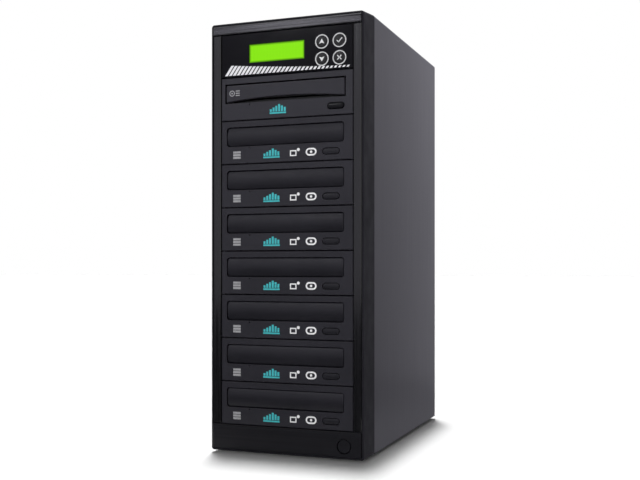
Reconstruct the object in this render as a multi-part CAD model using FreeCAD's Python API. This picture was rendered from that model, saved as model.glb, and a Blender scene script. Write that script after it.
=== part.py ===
import FreeCAD, Part
import math
import os

Vector = FreeCAD.Vector

# Bays: the top one holds the controller, the others hold disc drives
BAY_COUNT = 9
BAY_PITCH = 45.4
BAY_CLEARANCE = 0.6
FASCIA_OVERHANG = 1.0
FASCIA_LAP = 1.6
FASCIA_GAP = 0.9
FASCIA_DEPTH = 5.0
FASCIA_SETBACK = 2.0
FASCIA_BEVEL = 0.6

# Front bezel moulding and the trims set into it
PILLAR_WIDTH = 10.9
TOP_STRIP = 11.1
BOTTOM_STRIP = 27.6
TOP_DROP = 4.2
BEZEL_DEPTH = 36.0
BEZEL_WALL = 1.6
CORNER_RADIUS = 3.0
LIP_SETBACK = 1.5
LIP_BEVEL = 0.6
TRIM_DEPTH = 3.0
TRIM_GAP = 1.0
TRIM_BEVEL = 0.6
PILLAR_SETBACK = 1.0
SEAM = 0.8
CARRIER_WALL = 3.0
SEAT_RIB_DEPTH = 2.0
SEAT_RIB_WIDTH = 6.0

# Sheet metal of the case
COVER_SHEET = 1.0
COVER_GAP = 0.4
COVER_HEM = 8.0
COVER_REAR_LIP = 12.0
FRAME_SHEET = 1.0
FRAME_CLEARANCE = 0.2
CAGE_TOP_GAP = 1.0
CAGE_FLANGE = 8.0
CAGE_CLEARANCE = 0.2
CAGE_WINDOW_MARGIN = 16.0
CAGE_RELIEF = 8.0
SHELF_REACH = 6.0
SHELF_LENGTH = 90.0
SHELF_START = 30.0
BASE_LIP = 18.0
CABLE_SPACE = 25.0

# Rubber feet
FOOT_HEIGHT = 3.0
FOOT_WIDTH = 20.0
FOOT_CORNER = 4.0
FOOT_SIDE_INSET = 24.0
FOOT_END_INSET = 22.0

# Disc drives, half height
DRIVE_DEPTH = 163.0
DRIVE_SHEET = 0.9
DOOR_SHIFT = -1.8
DOOR_RISE = 28.0
READER_DOOR_OVERHANG = 3.0
WRITER_DOOR_OVERHANG = 1.2
DOOR_HEIGHT = 19.4
DOOR_GAP = 0.5
DOOR_DEPTH = 4.0
DOOR_SETBACK = 0.2
DOOR_CROWN = 0.7
DOOR_ARCH = 4.0
EJECT_RISE = 8.9
EJECT_WIDTH = 18.4
EJECT_HEIGHT = 6.6
EJECT_FLANGE = 1.0
PILL_FACETS = 6
READER_EJECT_SIDE = 18.5
READER_EJECT_PROUD = 1.2
WRITER_EJECT_SIDE = 23.6
WRITER_EJECT_PROUD = 0.3
CAP_CLEARANCE = 0.3
PINHOLE_SIDE = 32.5
PINHOLE_RISE = 16.1
PINHOLE_SIZE = 1.2

# Disc tray and the loader deck that guides it
TRAY_RIM = 2.5
TRAY_DEPTH = 150.0
TRAY_HEIGHT = 10.0
TRAY_DROP = 5.5
TRAY_SKIN = 2.0
TRAY_RAIL = 4.0
TRAY_FRONT_WALL = 3.0
DISC_WELL_RADIUS = 61.0
DISC_WELL_DEPTH = 4.4
LASER_SLOT_WIDTH = 40.0
LASER_SLOT_REACH = 52.0
LASER_SLOT_CORNER = 10.0
GUIDE_RIB_WIDTH = 1.2
GUIDE_RIB_HEIGHT = 2.0
GUIDE_RIB_START = 25.0
GUIDE_CLEARANCE = 0.3
DECK_WALL = 4.5
DECK_SIDE_GAP = 1.0
DECK_WALL_ABOVE = 1.5
DECK_WALL_BELOW = 3.0
DECK_SETBACK = 8.0
DECK_REAR_GAP = 2.0

# Controller bay: fascia openings, display, keys and boards
LCD_SIDE = 31.5
LCD_RISE = 0.9
LCD_WIDTH = 62.0
LCD_HEIGHT = 19.3
LCD_CLEARANCE = 0.2
LCD_SETBACK = 1.0
LCD_FRAME = 4.0
KEY_SIDE = 33.3
KEY_STEP_X = 18.8
KEY_DROP = 15.5
KEY_STEP_Z = 17.4
KEY_RADIUS = 5.9
KEY_PROUD = 0.4
KEY_TRAVEL = 0.8
KEY_FLANGE_RIM = 1.2
KEY_FLANGE = 1.0
KEY_STEM_WIDTH = 4.0
KEY_STEM = 1.5
KEY_SWITCH = 6.0
SWITCH_CLEARANCE = 0.1
BOARD_SHEET = 1.6
BOARD_STANDOFF = 6.0
BOARD_MARGIN = 3.0
POST_WIDTH = 4.0
CONTROLLER_DEPTH = 120.0
CONTROLLER_WALL = 24.0
CONTROLLER_FRONT_GAP = 16.0
CONTROLLER_REAR_GAP = 8.0
PORT_SIZE = 8.0
CHIP_SIZE = 22.0
CHIP_HEIGHT = 2.5

# Power key in the bottom strip
POWER_SIDE = 18.0
POWER_RISE = 12.9
POWER_RADIUS = 7.2
POWER_CLEARANCE = 0.4
POWER_INSET = 0.3
POWER_RIM = 2.0
POWER_FLANGE = 1.2

# Power supply, mains inlet and rocker switch
PSU_WIDTH = 125.0
PSU_HEIGHT = 63.5
PSU_DEPTH = 100.0
PSU_SHEET = 1.0
PSU_WINDOW_BORDER = 6.0
PSU_FAN_SIDE = 34.5
PSU_FAN_TIP = 26.0
PSU_FAN_HUB = 12.0
PSU_FAN_DEPTH = 14.0
INLET_SIDE = 26.5
INLET_WIDTH = 27.4
INLET_HEIGHT = 46.0
INLET_DEPTH = 20.0
INLET_FLANGE = 3.2
INLET_FLANGE_RIM = 2.0
INLET_CLEARANCE = 0.2
SOCKET_DROP = 12.0
SOCKET_WIDTH = 24.4
SOCKET_HEIGHT = 16.4
SOCKET_DEPTH = 16.0
SOCKET_CHAMFER = 4.0
PIN_WIDTH = 2.0
PIN_HEIGHT = 4.0
PIN_LENGTH = 14.0
PIN_STEP = 7.0
EARTH_RISE = 4.0
ROCKER_RISE = 12.5
ROCKER_WIDTH = 12.4
ROCKER_LENGTH = 17.2
ROCKER_PEAK = 4.5
ROCKER_VALLEY = 3.2
ROCKER_BELLY = 4.0
ROCKER_BELLY_LENGTH = 12.0
ROCKER_PIVOT_DEPTH = 6.0
ROCKER_TILT = 8.0
ROCKER_SIDE_GAP = 0.3
ROCKER_END_GAP = 0.9
ROCKER_WELL_DEPTH = 12.0
TRUNNION_RADIUS = 1.0
TRUNNION_LENGTH = 2.5
TRUNNION_CLEARANCE = 0.05

# Exhaust fan
FAN_SIZE = 80.0
FAN_DEPTH = 25.0
FAN_RISE = 265.0
FAN_CORNER = 4.0
FAN_STRUT_ROOT = 1.0
FAN_TIP = 37.0
FAN_TIP_GAP = 1.2
FAN_HUB = 16.0
FAN_ROTOR_DEPTH = 20.0
FAN_MOUNT_WIDTH = 26.0
FAN_MOUNT_DEPTH = 3.0
FAN_STRUT = 4.0
FAN_BLADES = 7
HUB_FACETS = 12
BORE_FACETS = 20
BLADE_SHEET = 1.4
BLADE_PITCH = 35.0
BLADE_ROOT_SHARE = 0.9
BLADE_CHORD_SHARE = 0.6
SHAFT_RADIUS = 1.5
SHAFT_CLEARANCE = 0.05
SHAFT_LENGTH = 11.0
ROTOR_GAP = 0.5
GRILLE_SLOT = 4.6
GRILLE_STEP = 8.0
VENT_COUNT = 4
VENT_LENGTH = 70.0
VENT_HEIGHT = 4.0
VENT_STEP = 8.0
VENT_TOP_MARGIN = 24.0

# Leads behind the drives
LEAD_SIDE = 29.0
LEAD_WIDTH = 6.0
LEAD_SHEET = 1.2
LEAD_STEP = 1.9
LEAD_FIRST = 9.0
LEAD_RISE = 10.0
PORT_FIRST = 12.0
PORT_STEP = 13.0
PLUG_WIDTH = 12.0
PLUG_HEIGHT = 6.0
PLUG_DEPTH = 4.0
HARNESS_SIDE = 15.0
HARNESS_WIDTH = 5.0
BRANCH_WIDTH = 3.0
HARNESS_BACK = 16.0
HARNESS_PSU_RISE = 42.0

# Sizes that follow from the ones above
TRAY_WIDTH = 2 * (DISC_WELL_RADIUS + TRAY_RIM)
DECK_REACH = TRAY_WIDTH / 2 + GUIDE_CLEARANCE + DECK_WALL
DRIVE_WIDTH = 2 * (DECK_REACH + abs(DOOR_SHIFT) + DECK_SIDE_GAP + DRIVE_SHEET)
FASCIA_WIDTH = DRIVE_WIDTH + 2 * FASCIA_OVERHANG
FASCIA_HEIGHT = BAY_PITCH - FASCIA_GAP
DRIVE_HEIGHT = FASCIA_HEIGHT - 2 * FASCIA_LAP
OPENING_WIDTH = FASCIA_WIDTH + 2 * BAY_CLEARANCE
OPENING_HEIGHT = BAY_COUNT * BAY_PITCH - FASCIA_GAP + 2 * BAY_CLEARANCE
CASE_WIDTH = OPENING_WIDTH + 2 * PILLAR_WIDTH
FRONT_HEIGHT = BOTTOM_STRIP + OPENING_HEIGHT + TOP_STRIP
CASE_HEIGHT = FRONT_HEIGHT + TOP_DROP
CASE_DEPTH = FASCIA_SETBACK + FASCIA_DEPTH + DRIVE_DEPTH + CABLE_SPACE + PSU_DEPTH + FRAME_SHEET
SIDE_X = CASE_WIDTH / 2
TRIM_X = SIDE_X - BEZEL_WALL - TRIM_GAP
BASE_X = SIDE_X - BEZEL_WALL - FRAME_CLEARANCE
CAGE_X = DRIVE_WIDTH / 2 + CAGE_CLEARANCE
FAN_BORE = FAN_TIP + FAN_TIP_GAP

# Places across the case, from the sides of the fascias, drives and power supply
READER_EJECT_X = FASCIA_WIDTH / 2 - READER_EJECT_SIDE
WRITER_EJECT_X = FASCIA_WIDTH / 2 - WRITER_EJECT_SIDE
PINHOLE_X = PINHOLE_SIDE - FASCIA_WIDTH / 2
LCD_X = LCD_SIDE + LCD_WIDTH / 2 - FASCIA_WIDTH / 2
KEY_X = FASCIA_WIDTH / 2 - KEY_SIDE
POWER_X = TRIM_X - POWER_SIDE
LEAD_X = DRIVE_WIDTH / 2 - LEAD_SIDE
HARNESS_X = DRIVE_WIDTH / 2 - HARNESS_SIDE
PSU_FAN_X = PSU_FAN_SIDE - PSU_WIDTH / 2
INLET_X = PSU_WIDTH / 2 - INLET_SIDE

# Planes from front to back
FRONT_Y = -(CASE_DEPTH - FRAME_SHEET + INLET_FLANGE) / 2
LIP_Y = FRONT_Y + LIP_SETBACK
TRIM_BACK_Y = FRONT_Y + TRIM_DEPTH
CARRIER_BACK_Y = TRIM_BACK_Y + CARRIER_WALL
CAGE_Y = CARRIER_BACK_Y + SEAT_RIB_DEPTH
BEZEL_BACK_Y = FRONT_Y + BEZEL_DEPTH
FASCIA_Y = FRONT_Y + FASCIA_SETBACK
FASCIA_BACK_Y = FASCIA_Y + FASCIA_DEPTH
DOOR_Y = FASCIA_Y + DOOR_SETBACK
TRAY_Y = DOOR_Y + DOOR_DEPTH
DRIVE_BACK_Y = FASCIA_BACK_Y + DRIVE_DEPTH
PSU_Y = DRIVE_BACK_Y + CABLE_SPACE
PANEL_Y = PSU_Y + PSU_DEPTH
PANEL_BACK_Y = PANEL_Y + FRAME_SHEET
COVER_BACK_Y = PANEL_BACK_Y + COVER_SHEET

# Levels from the floor up
CASE_Z = FOOT_HEIGHT
BASE_Z = CASE_Z + BEZEL_WALL
BASE_TOP_Z = BASE_Z + FRAME_SHEET
COVER_Z = BASE_Z - COVER_SHEET
OPENING_Z = CASE_Z + BOTTOM_STRIP
OPENING_TOP_Z = OPENING_Z + OPENING_HEIGHT
CASE_TOP_Z = CASE_Z + CASE_HEIGHT
CAGE_TOP_Z = CASE_Z + FRONT_HEIGHT - BEZEL_WALL - CAGE_TOP_GAP
POWER_Z = CASE_Z + POWER_RISE
PSU_Z = BASE_TOP_Z + PSU_HEIGHT / 2
FAN_Z = BASE_TOP_Z + FAN_RISE
PAST = 1.0


def block(x, y, z):
    """Box between the low and high values of x, y and z."""
    corner = Vector(x[0], y[0], z[0])
    return Part.makeBox(x[1] - x[0], y[1] - y[0], z[1] - z[0], corner)


def rod(radius, x, z, y):
    """Round bar along y."""
    return Part.makeCylinder(radius, y[1] - y[0], Vector(x, y[0], z), Vector(0, 1, 0))


def square_bar(width, x, z, y):
    """Square bar along y."""
    half = width / 2
    return block((x - half, x + half), y, (z - half, z + half))


def side_extrusion(profile, x):
    """Closed (y, z) profile carried from one x to another."""
    points = [Vector(x[0], y, z) for y, z in profile]
    face = Part.Face(Part.makePolygon(points + points[:1]))
    return face.extrude(Vector(x[1] - x[0], 0, 0))


def front_extrusion(edges, y):
    """Closed outline of edges in the plane y[0], carried back to y[1]."""
    return Part.Face(Part.Wire(edges)).extrude(Vector(0, y[1] - y[0], 0))


def prism(points, y):
    """Polygon in the plane y[0], carried back to y[1]."""
    face = Part.Face(Part.makePolygon(points + points[:1]))
    return face.extrude(Vector(0, y[1] - y[0], 0))


def faceted_rod(radius, sides, x, z, y):
    """Round bar along y in flats, with a corner at every share of the turn."""
    points = []
    for side in range(sides):
        turn = math.pi * (2 * side + 1) / sides
        points.append(Vector(x + radius * math.cos(turn), y[0], z + radius * math.sin(turn)))
    return prism(points, y)


def pill(width, height, x, z, y):
    """Bar along y whose ends, seen from the front, are half-round in a few flats."""
    straight = (width - height) / 2
    points = []
    for end in (0, 1):
        for step in range(PILL_FACETS + 1):
            turn = math.pi * (end + step / PILL_FACETS) - math.pi / 2
            side = straight if end == 0 else -straight
            across = side + height / 2 * math.cos(turn)
            points.append(Vector(x + across, y[0], z + height / 2 * math.sin(turn)))
    return prism(points, y)


def joined(first, *others):
    return first.fuse(list(others)).removeSplitter()


def rim_edges(shape, y):
    """Edges that lie in the plane at y."""
    return [edge for edge in shape.Edges if all(abs(v.Y - y) < 1e-4 for v in edge.Vertexes)]


def lengthwise_edges(shape):
    """Edges that run from front to back."""
    return [edge for edge in shape.Edges if abs(edge.Vertexes[0].Y - edge.Vertexes[-1].Y) > PAST]


def bay_z(bay):
    """Bottom of a bay's fascia, counted from the lowest bay."""
    return OPENING_Z + BAY_CLEARANCE + bay * BAY_PITCH


def bezel_top(y):
    return CASE_Z + FRONT_HEIGHT + TOP_DROP * (y - FRONT_Y) / BEZEL_DEPTH


def bezel_block(y, inset):
    """Outer form of the bezel, whose top rises towards the back, made smaller by an inset."""
    low = CASE_Z + inset
    profile = [(y[0], low), (y[1], low), (y[1], bezel_top(y[1]) - inset), (y[0], bezel_top(y[0]) - inset)]
    return side_extrusion(profile, (-SIDE_X + inset, SIDE_X - inset))


def make_front_bezel():
    outer = bezel_block((LIP_Y, BEZEL_BACK_Y), 0)
    outer = outer.makeFillet(CORNER_RADIUS, lengthwise_edges(outer))
    outer = outer.makeChamfer(LIP_BEVEL, rim_edges(outer, LIP_Y))
    hollow = bezel_block((CARRIER_BACK_Y, BEZEL_BACK_Y + PAST), BEZEL_WALL)
    recess = bezel_block((LIP_Y - PAST, TRIM_BACK_Y), BEZEL_WALL)
    half = OPENING_WIDTH / 2
    opening = block((-half, half), (LIP_Y - PAST, BEZEL_BACK_Y), (OPENING_Z, OPENING_TOP_Z))
    power_hole = rod(POWER_RADIUS + POWER_CLEARANCE, POWER_X, POWER_Z, (LIP_Y, BEZEL_BACK_Y))
    bezel = outer.cut([hollow, recess, opening, power_hole])
    rib_y = (CARRIER_BACK_Y, CAGE_Y)
    ribs = []
    for side in (-1, 1):
        near, far = sorted((side * half, side * (half + SEAT_RIB_WIDTH)))
        ribs.append(block((near, far), rib_y, (OPENING_Z, OPENING_TOP_Z)))
    low_rib_z = (OPENING_Z - SEAT_RIB_WIDTH - PAST, OPENING_Z - PAST)
    low_rib = block((-half, POWER_X - 2 * POWER_RADIUS), rib_y, low_rib_z)
    return joined(bezel, low_rib, *ribs)


def make_trim(z):
    trim = block((-TRIM_X, TRIM_X), (FRONT_Y, TRIM_BACK_Y), z)
    return trim.makeChamfer(TRIM_BEVEL, rim_edges(trim, FRONT_Y))


def make_top_trim():
    return make_trim((OPENING_TOP_Z, CASE_Z + FRONT_HEIGHT - BEZEL_WALL - TRIM_GAP))


def make_bottom_trim():
    trim = make_trim((CASE_Z + BEZEL_WALL + TRIM_GAP, OPENING_Z))
    hole = rod(POWER_RADIUS + POWER_CLEARANCE, POWER_X, POWER_Z, (FRONT_Y - PAST, TRIM_BACK_Y + PAST))
    return trim.cut(hole)


def make_side_pillars():
    face_y = FRONT_Y + PILLAR_SETBACK
    pillars = []
    for side in (-1, 1):
        near, far = sorted((side * OPENING_WIDTH / 2, side * TRIM_X))
        pillar = block((near, far), (face_y, TRIM_BACK_Y), (OPENING_Z + SEAM, OPENING_TOP_Z - SEAM))
        pillars.append(pillar.makeChamfer(TRIM_BEVEL, rim_edges(pillar, face_y)))
    return pillars


def make_power_button():
    face_y = FRONT_Y + POWER_INSET
    cap = rod(POWER_RADIUS, POWER_X, POWER_Z, (face_y, CARRIER_BACK_Y))
    flange_y = (CARRIER_BACK_Y, CARRIER_BACK_Y + POWER_FLANGE)
    return joined(cap, square_bar(2 * (POWER_RADIUS + POWER_RIM), POWER_X, POWER_Z, flange_y))


def fascia_plate(bay):
    half = FASCIA_WIDTH / 2
    low = bay_z(bay)
    plate = block((-half, half), (FASCIA_Y, FASCIA_BACK_Y), (low, low + FASCIA_HEIGHT))
    return plate.makeChamfer(FASCIA_BEVEL, rim_edges(plate, FASCIA_Y))


# Drives are numbered downwards from the reader, which is under the controller
DRIVES = range(1, BAY_COUNT)
READER = 1

# Controller bay, on top of the drives
CONTROLLER_BAY = BAY_COUNT - 1
CONTROLLER_Z = bay_z(CONTROLLER_BAY)
CONTROLLER_MID_Z = CONTROLLER_Z + FASCIA_HEIGHT / 2
LCD_Z = CONTROLLER_MID_Z + LCD_RISE
KEY_Z = CONTROLLER_Z + FASCIA_HEIGHT - KEY_DROP
KEY_PLACES = {
    "key_up": (KEY_X, KEY_Z),
    "key_enter": (KEY_X + KEY_STEP_X, KEY_Z),
    "key_down": (KEY_X, KEY_Z - KEY_STEP_Z),
    "key_escape": (KEY_X + KEY_STEP_X, KEY_Z - KEY_STEP_Z),
}
DISPLAY_BOARD_Y = FASCIA_BACK_Y + BOARD_STANDOFF
KEY_BACK_Y = FASCIA_BACK_Y + KEY_FLANGE + KEY_STEM
CONTROLLER_FLOOR_Z = CONTROLLER_Z + FASCIA_LAP
MAIN_BOARD_Z = CONTROLLER_FLOOR_Z + DRIVE_SHEET + BOARD_STANDOFF
MAIN_BOARD_X = DRIVE_WIDTH / 2 - BOARD_STANDOFF
MAIN_BOARD_Y = (FASCIA_BACK_Y + CONTROLLER_FRONT_GAP, FASCIA_BACK_Y + CONTROLLER_DEPTH - CONTROLLER_REAR_GAP)
PORT_Z = MAIN_BOARD_Z + BOARD_SHEET + PORT_SIZE / 2


def lcd_window(grow, y):
    half_width = LCD_WIDTH / 2 + grow
    half_height = LCD_HEIGHT / 2 + grow
    return block((LCD_X - half_width, LCD_X + half_width), y, (LCD_Z - half_height, LCD_Z + half_height))


def make_control_panel():
    through = (FASCIA_Y - PAST, FASCIA_BACK_Y + PAST)
    cuts = [lcd_window(0, through)]
    for x, z in KEY_PLACES.values():
        cuts.append(rod(KEY_RADIUS + CAP_CLEARANCE, x, z, through))
    return fascia_plate(CONTROLLER_BAY).cut(cuts)


def make_lcd_module():
    glass = lcd_window(-LCD_CLEARANCE, (FASCIA_Y + LCD_SETBACK, FASCIA_BACK_Y))
    frame = lcd_window(LCD_FRAME, (FASCIA_BACK_Y, DISPLAY_BOARD_Y))
    return joined(glass, frame)


def make_display_board():
    half = FASCIA_WIDTH / 2 - BOARD_MARGIN
    low = CONTROLLER_Z + BOARD_MARGIN
    high = CONTROLLER_Z + FASCIA_HEIGHT - BOARD_MARGIN
    board = block((-half, half), (DISPLAY_BOARD_Y, DISPLAY_BOARD_Y + BOARD_SHEET), (low, high))
    switch_y = (KEY_BACK_Y + KEY_TRAVEL + SWITCH_CLEARANCE, DISPLAY_BOARD_Y)
    switches = [square_bar(KEY_SWITCH, x, z, switch_y) for x, z in KEY_PLACES.values()]
    return joined(board, *switches)


def make_key(x, z):
    face_y = FASCIA_Y - KEY_PROUD
    cap = rod(KEY_RADIUS, x, z, (face_y, FASCIA_BACK_Y))
    flange_back_y = FASCIA_BACK_Y + KEY_FLANGE
    flange = square_bar(2 * (KEY_RADIUS + KEY_FLANGE_RIM), x, z, (FASCIA_BACK_Y, flange_back_y))
    return joined(cap, flange, square_bar(KEY_STEM_WIDTH, x, z, (flange_back_y, KEY_BACK_Y)))


def make_controller_tray():
    half = DRIVE_WIDTH / 2
    y = (FASCIA_BACK_Y, FASCIA_BACK_Y + CONTROLLER_DEPTH)
    low = CONTROLLER_FLOOR_Z
    tray = block((-half, half), y, (low, low + CONTROLLER_WALL))
    inside = half - DRIVE_SHEET
    tray = tray.cut(block((-inside, inside), (y[0] - PAST, y[1] + PAST), (low + DRIVE_SHEET, CASE_TOP_Z)))
    posts = []
    for x in (-MAIN_BOARD_X + BOARD_STANDOFF, MAIN_BOARD_X - BOARD_STANDOFF):
        for post_y in (MAIN_BOARD_Y[0] + BOARD_STANDOFF, MAIN_BOARD_Y[1] - 2 * BOARD_STANDOFF):
            post_x = (x - POST_WIDTH / 2, x + POST_WIDTH / 2)
            posts.append(block(post_x, (post_y, post_y + POST_WIDTH), (low, MAIN_BOARD_Z)))
    return joined(tray, *posts)


def port_x(drive):
    """Place across the case of the controller port that serves a drive."""
    return LEAD_X - PORT_FIRST - (drive - 1) * PORT_STEP


def make_control_board():
    top = MAIN_BOARD_Z + BOARD_SHEET
    board = block((-MAIN_BOARD_X, MAIN_BOARD_X), MAIN_BOARD_Y, (MAIN_BOARD_Z, top))
    extras = []
    reach = PORT_SIZE / 2
    for drive in DRIVES:
        x = port_x(drive)
        y = (MAIN_BOARD_Y[1] - PORT_SIZE, MAIN_BOARD_Y[1])
        extras.append(block((x - reach, x + reach), y, (top, top + PORT_SIZE)))
    mid_y = (MAIN_BOARD_Y[0] + MAIN_BOARD_Y[1]) / 2
    reach = CHIP_SIZE / 2
    extras.append(block((-reach, reach), (mid_y - reach, mid_y + reach), (top, top + CHIP_HEIGHT)))
    return joined(board, *extras)


# Disc drives
def drive_bay(drive):
    return CONTROLLER_BAY - drive


def eject_place(drive):
    x = READER_EJECT_X if drive == READER else WRITER_EJECT_X
    return x, bay_z(drive_bay(drive)) + EJECT_RISE


def door_span(drive, grow):
    """Left and right ends of a tray door, or of its opening."""
    overhang = READER_DOOR_OVERHANG if drive == READER else WRITER_DOOR_OVERHANG
    reach = TRAY_WIDTH / 2 + overhang + grow
    return DOOR_SHIFT - reach, DOOR_SHIFT + reach


def door_levels(drive, grow):
    middle = bay_z(drive_bay(drive)) + DOOR_RISE
    return middle - DOOR_HEIGHT / 2 - grow, middle + DOOR_HEIGHT / 2 + grow


def make_drive_bezel(drive):
    through = (FASCIA_Y - PAST, FASCIA_BACK_Y + PAST)
    x, z = eject_place(drive)
    cuts = [
        block(door_span(drive, DOOR_GAP), through, door_levels(drive, DOOR_GAP)),
        pill(EJECT_WIDTH + 2 * CAP_CLEARANCE, EJECT_HEIGHT + 2 * CAP_CLEARANCE, x, z, through),
        square_bar(PINHOLE_SIZE, PINHOLE_X, bay_z(drive_bay(drive)) + PINHOLE_RISE, through),
    ]
    return fascia_plate(drive_bay(drive)).cut(cuts)


def make_writer_door(drive):
    """Door with a crowned face."""
    low, high = door_levels(drive, 0)
    left, right = door_span(drive, 0)
    edge_y = DOOR_Y + DOOR_CROWN

    def at(y, z):
        return Vector(left, y, z)

    edges = [
        Part.Arc(at(edge_y, low), at(DOOR_Y, (low + high) / 2), at(edge_y, high)).toShape(),
        Part.LineSegment(at(edge_y, high), at(TRAY_Y, high)).toShape(),
        Part.LineSegment(at(TRAY_Y, high), at(TRAY_Y, low)).toShape(),
        Part.LineSegment(at(TRAY_Y, low), at(edge_y, low)).toShape(),
    ]
    return Part.Face(Part.Wire(edges)).extrude(Vector(right - left, 0, 0))


def make_reader_door(drive):
    """Door whose lower edge arches up and leaves room for a fingertip."""
    low, high = door_levels(drive, 0)
    left, right = door_span(drive, 0)

    def at(x, z):
        return Vector(x, DOOR_Y, z)

    edges = [
        Part.Arc(at(left, low), at((left + right) / 2, low + DOOR_ARCH), at(right, low)).toShape(),
        Part.LineSegment(at(right, low), at(right, high)).toShape(),
        Part.LineSegment(at(right, high), at(left, high)).toShape(),
        Part.LineSegment(at(left, high), at(left, low)).toShape(),
    ]
    door = front_extrusion(edges, (DOOR_Y, TRAY_Y))
    return door.makeChamfer(FASCIA_BEVEL, rim_edges(door, DOOR_Y))


def make_eject_button(drive):
    x, z = eject_place(drive)
    proud = READER_EJECT_PROUD if drive == READER else WRITER_EJECT_PROUD
    face_y = FASCIA_Y - proud
    cap = pill(EJECT_WIDTH, EJECT_HEIGHT, x, z, (face_y, FASCIA_BACK_Y))
    reach = EJECT_WIDTH / 2 + EJECT_FLANGE
    rise = EJECT_HEIGHT / 2 + EJECT_FLANGE
    flange_y = (FASCIA_BACK_Y, FASCIA_BACK_Y + EJECT_FLANGE)
    return joined(cap, block((x - reach, x + reach), flange_y, (z - rise, z + rise)))


def tray_floor_z(drive):
    return bay_z(drive_bay(drive)) + DOOR_RISE - TRAY_DROP


def guide_ribs(drive, grow, y):
    """Ribs along both sides of a tray, or their grooves in the deck when grown."""
    middle = tray_floor_z(drive) + TRAY_HEIGHT / 2
    reach = GUIDE_RIB_HEIGHT / 2 + grow
    ribs = []
    for side in (-1, 1):
        inner = DOOR_SHIFT + side * (TRAY_WIDTH / 2 - grow)
        outer = DOOR_SHIFT + side * (TRAY_WIDTH / 2 + GUIDE_RIB_WIDTH + grow)
        ribs.append(block(sorted((inner, outer)), y, (middle - reach, middle + reach)))
    return ribs


def make_tray(drive):
    """Moulded tray with a disc well, a slot for the laser and a hollow between its side rails."""
    low = tray_floor_z(drive)
    top = low + TRAY_HEIGHT
    left, right = DOOR_SHIFT - TRAY_WIDTH / 2, DOOR_SHIFT + TRAY_WIDTH / 2
    y = (TRAY_Y, TRAY_Y + TRAY_DEPTH)
    hub_y = TRAY_Y + TRAY_FRONT_WALL + TRAY_SKIN + DISC_WELL_RADIUS
    half_slot = LASER_SLOT_WIDTH / 2
    slot_y = (hub_y - half_slot, hub_y + LASER_SLOT_REACH)
    slot = block((DOOR_SHIFT - half_slot, DOOR_SHIFT + half_slot), slot_y, (low - PAST, top))
    hub_corners = [edge for edge in slot.Edges if all(v.Y < hub_y for v in edge.Vertexes)]
    upright = [edge for edge in hub_corners if edge.Vertexes[0].X == edge.Vertexes[-1].X]
    slot = slot.makeChamfer(LASER_SLOT_CORNER, upright)
    well_z = top - DISC_WELL_DEPTH
    well = Part.makeCylinder(DISC_WELL_RADIUS, DISC_WELL_DEPTH + PAST, Vector(DOOR_SHIFT, hub_y, well_z))
    hollow_y = (y[0] + TRAY_FRONT_WALL, y[1] + PAST)
    hollow = block((left + TRAY_RAIL, right - TRAY_RAIL), hollow_y, (low - PAST, well_z - TRAY_SKIN))
    plate = block((left, right), y, (low, top)).cut([slot, hollow, well])
    return joined(plate, *guide_ribs(drive, 0, (y[0] + GUIDE_RIB_START, y[1])))


def make_loader_deck(drive):
    """Closed deck under the tray, with side walls whose grooves hold the tray level."""
    under = bay_z(drive_bay(drive)) + FASCIA_LAP + DRIVE_SHEET
    floor = tray_floor_z(drive) - GUIDE_CLEARANCE
    outer = DECK_REACH
    inner = DECK_REACH - DECK_WALL
    back = DRIVE_BACK_Y - DRIVE_SHEET - DECK_REAR_GAP
    wall_y = (FASCIA_BACK_Y + GUIDE_CLEARANCE, back)
    wall_z = (floor - DECK_WALL_BELOW, floor + TRAY_HEIGHT + DECK_WALL_ABOVE)
    deck = joined(
        block((DOOR_SHIFT - outer, DOOR_SHIFT + outer), (FASCIA_BACK_Y + DECK_SETBACK, back), (under, floor)),
        block((DOOR_SHIFT - outer, DOOR_SHIFT - inner), wall_y, wall_z),
        block((DOOR_SHIFT + inner, DOOR_SHIFT + outer), wall_y, wall_z),
    )
    return deck.cut(guide_ribs(drive, GUIDE_CLEARANCE, (FASCIA_BACK_Y, back + PAST)))


def make_drive_case(drive):
    low = bay_z(drive_bay(drive)) + FASCIA_LAP
    half = DRIVE_WIDTH / 2
    shell = block((-half, half), (FASCIA_BACK_Y, DRIVE_BACK_Y), (low, low + DRIVE_HEIGHT))
    inside = half - DRIVE_SHEET
    hollow_z = (low + DRIVE_SHEET, low + DRIVE_HEIGHT - DRIVE_SHEET)
    hollow = block((-inside, inside), (FASCIA_BACK_Y - PAST, DRIVE_BACK_Y - DRIVE_SHEET), hollow_z)
    return shell.cut(hollow)


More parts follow.
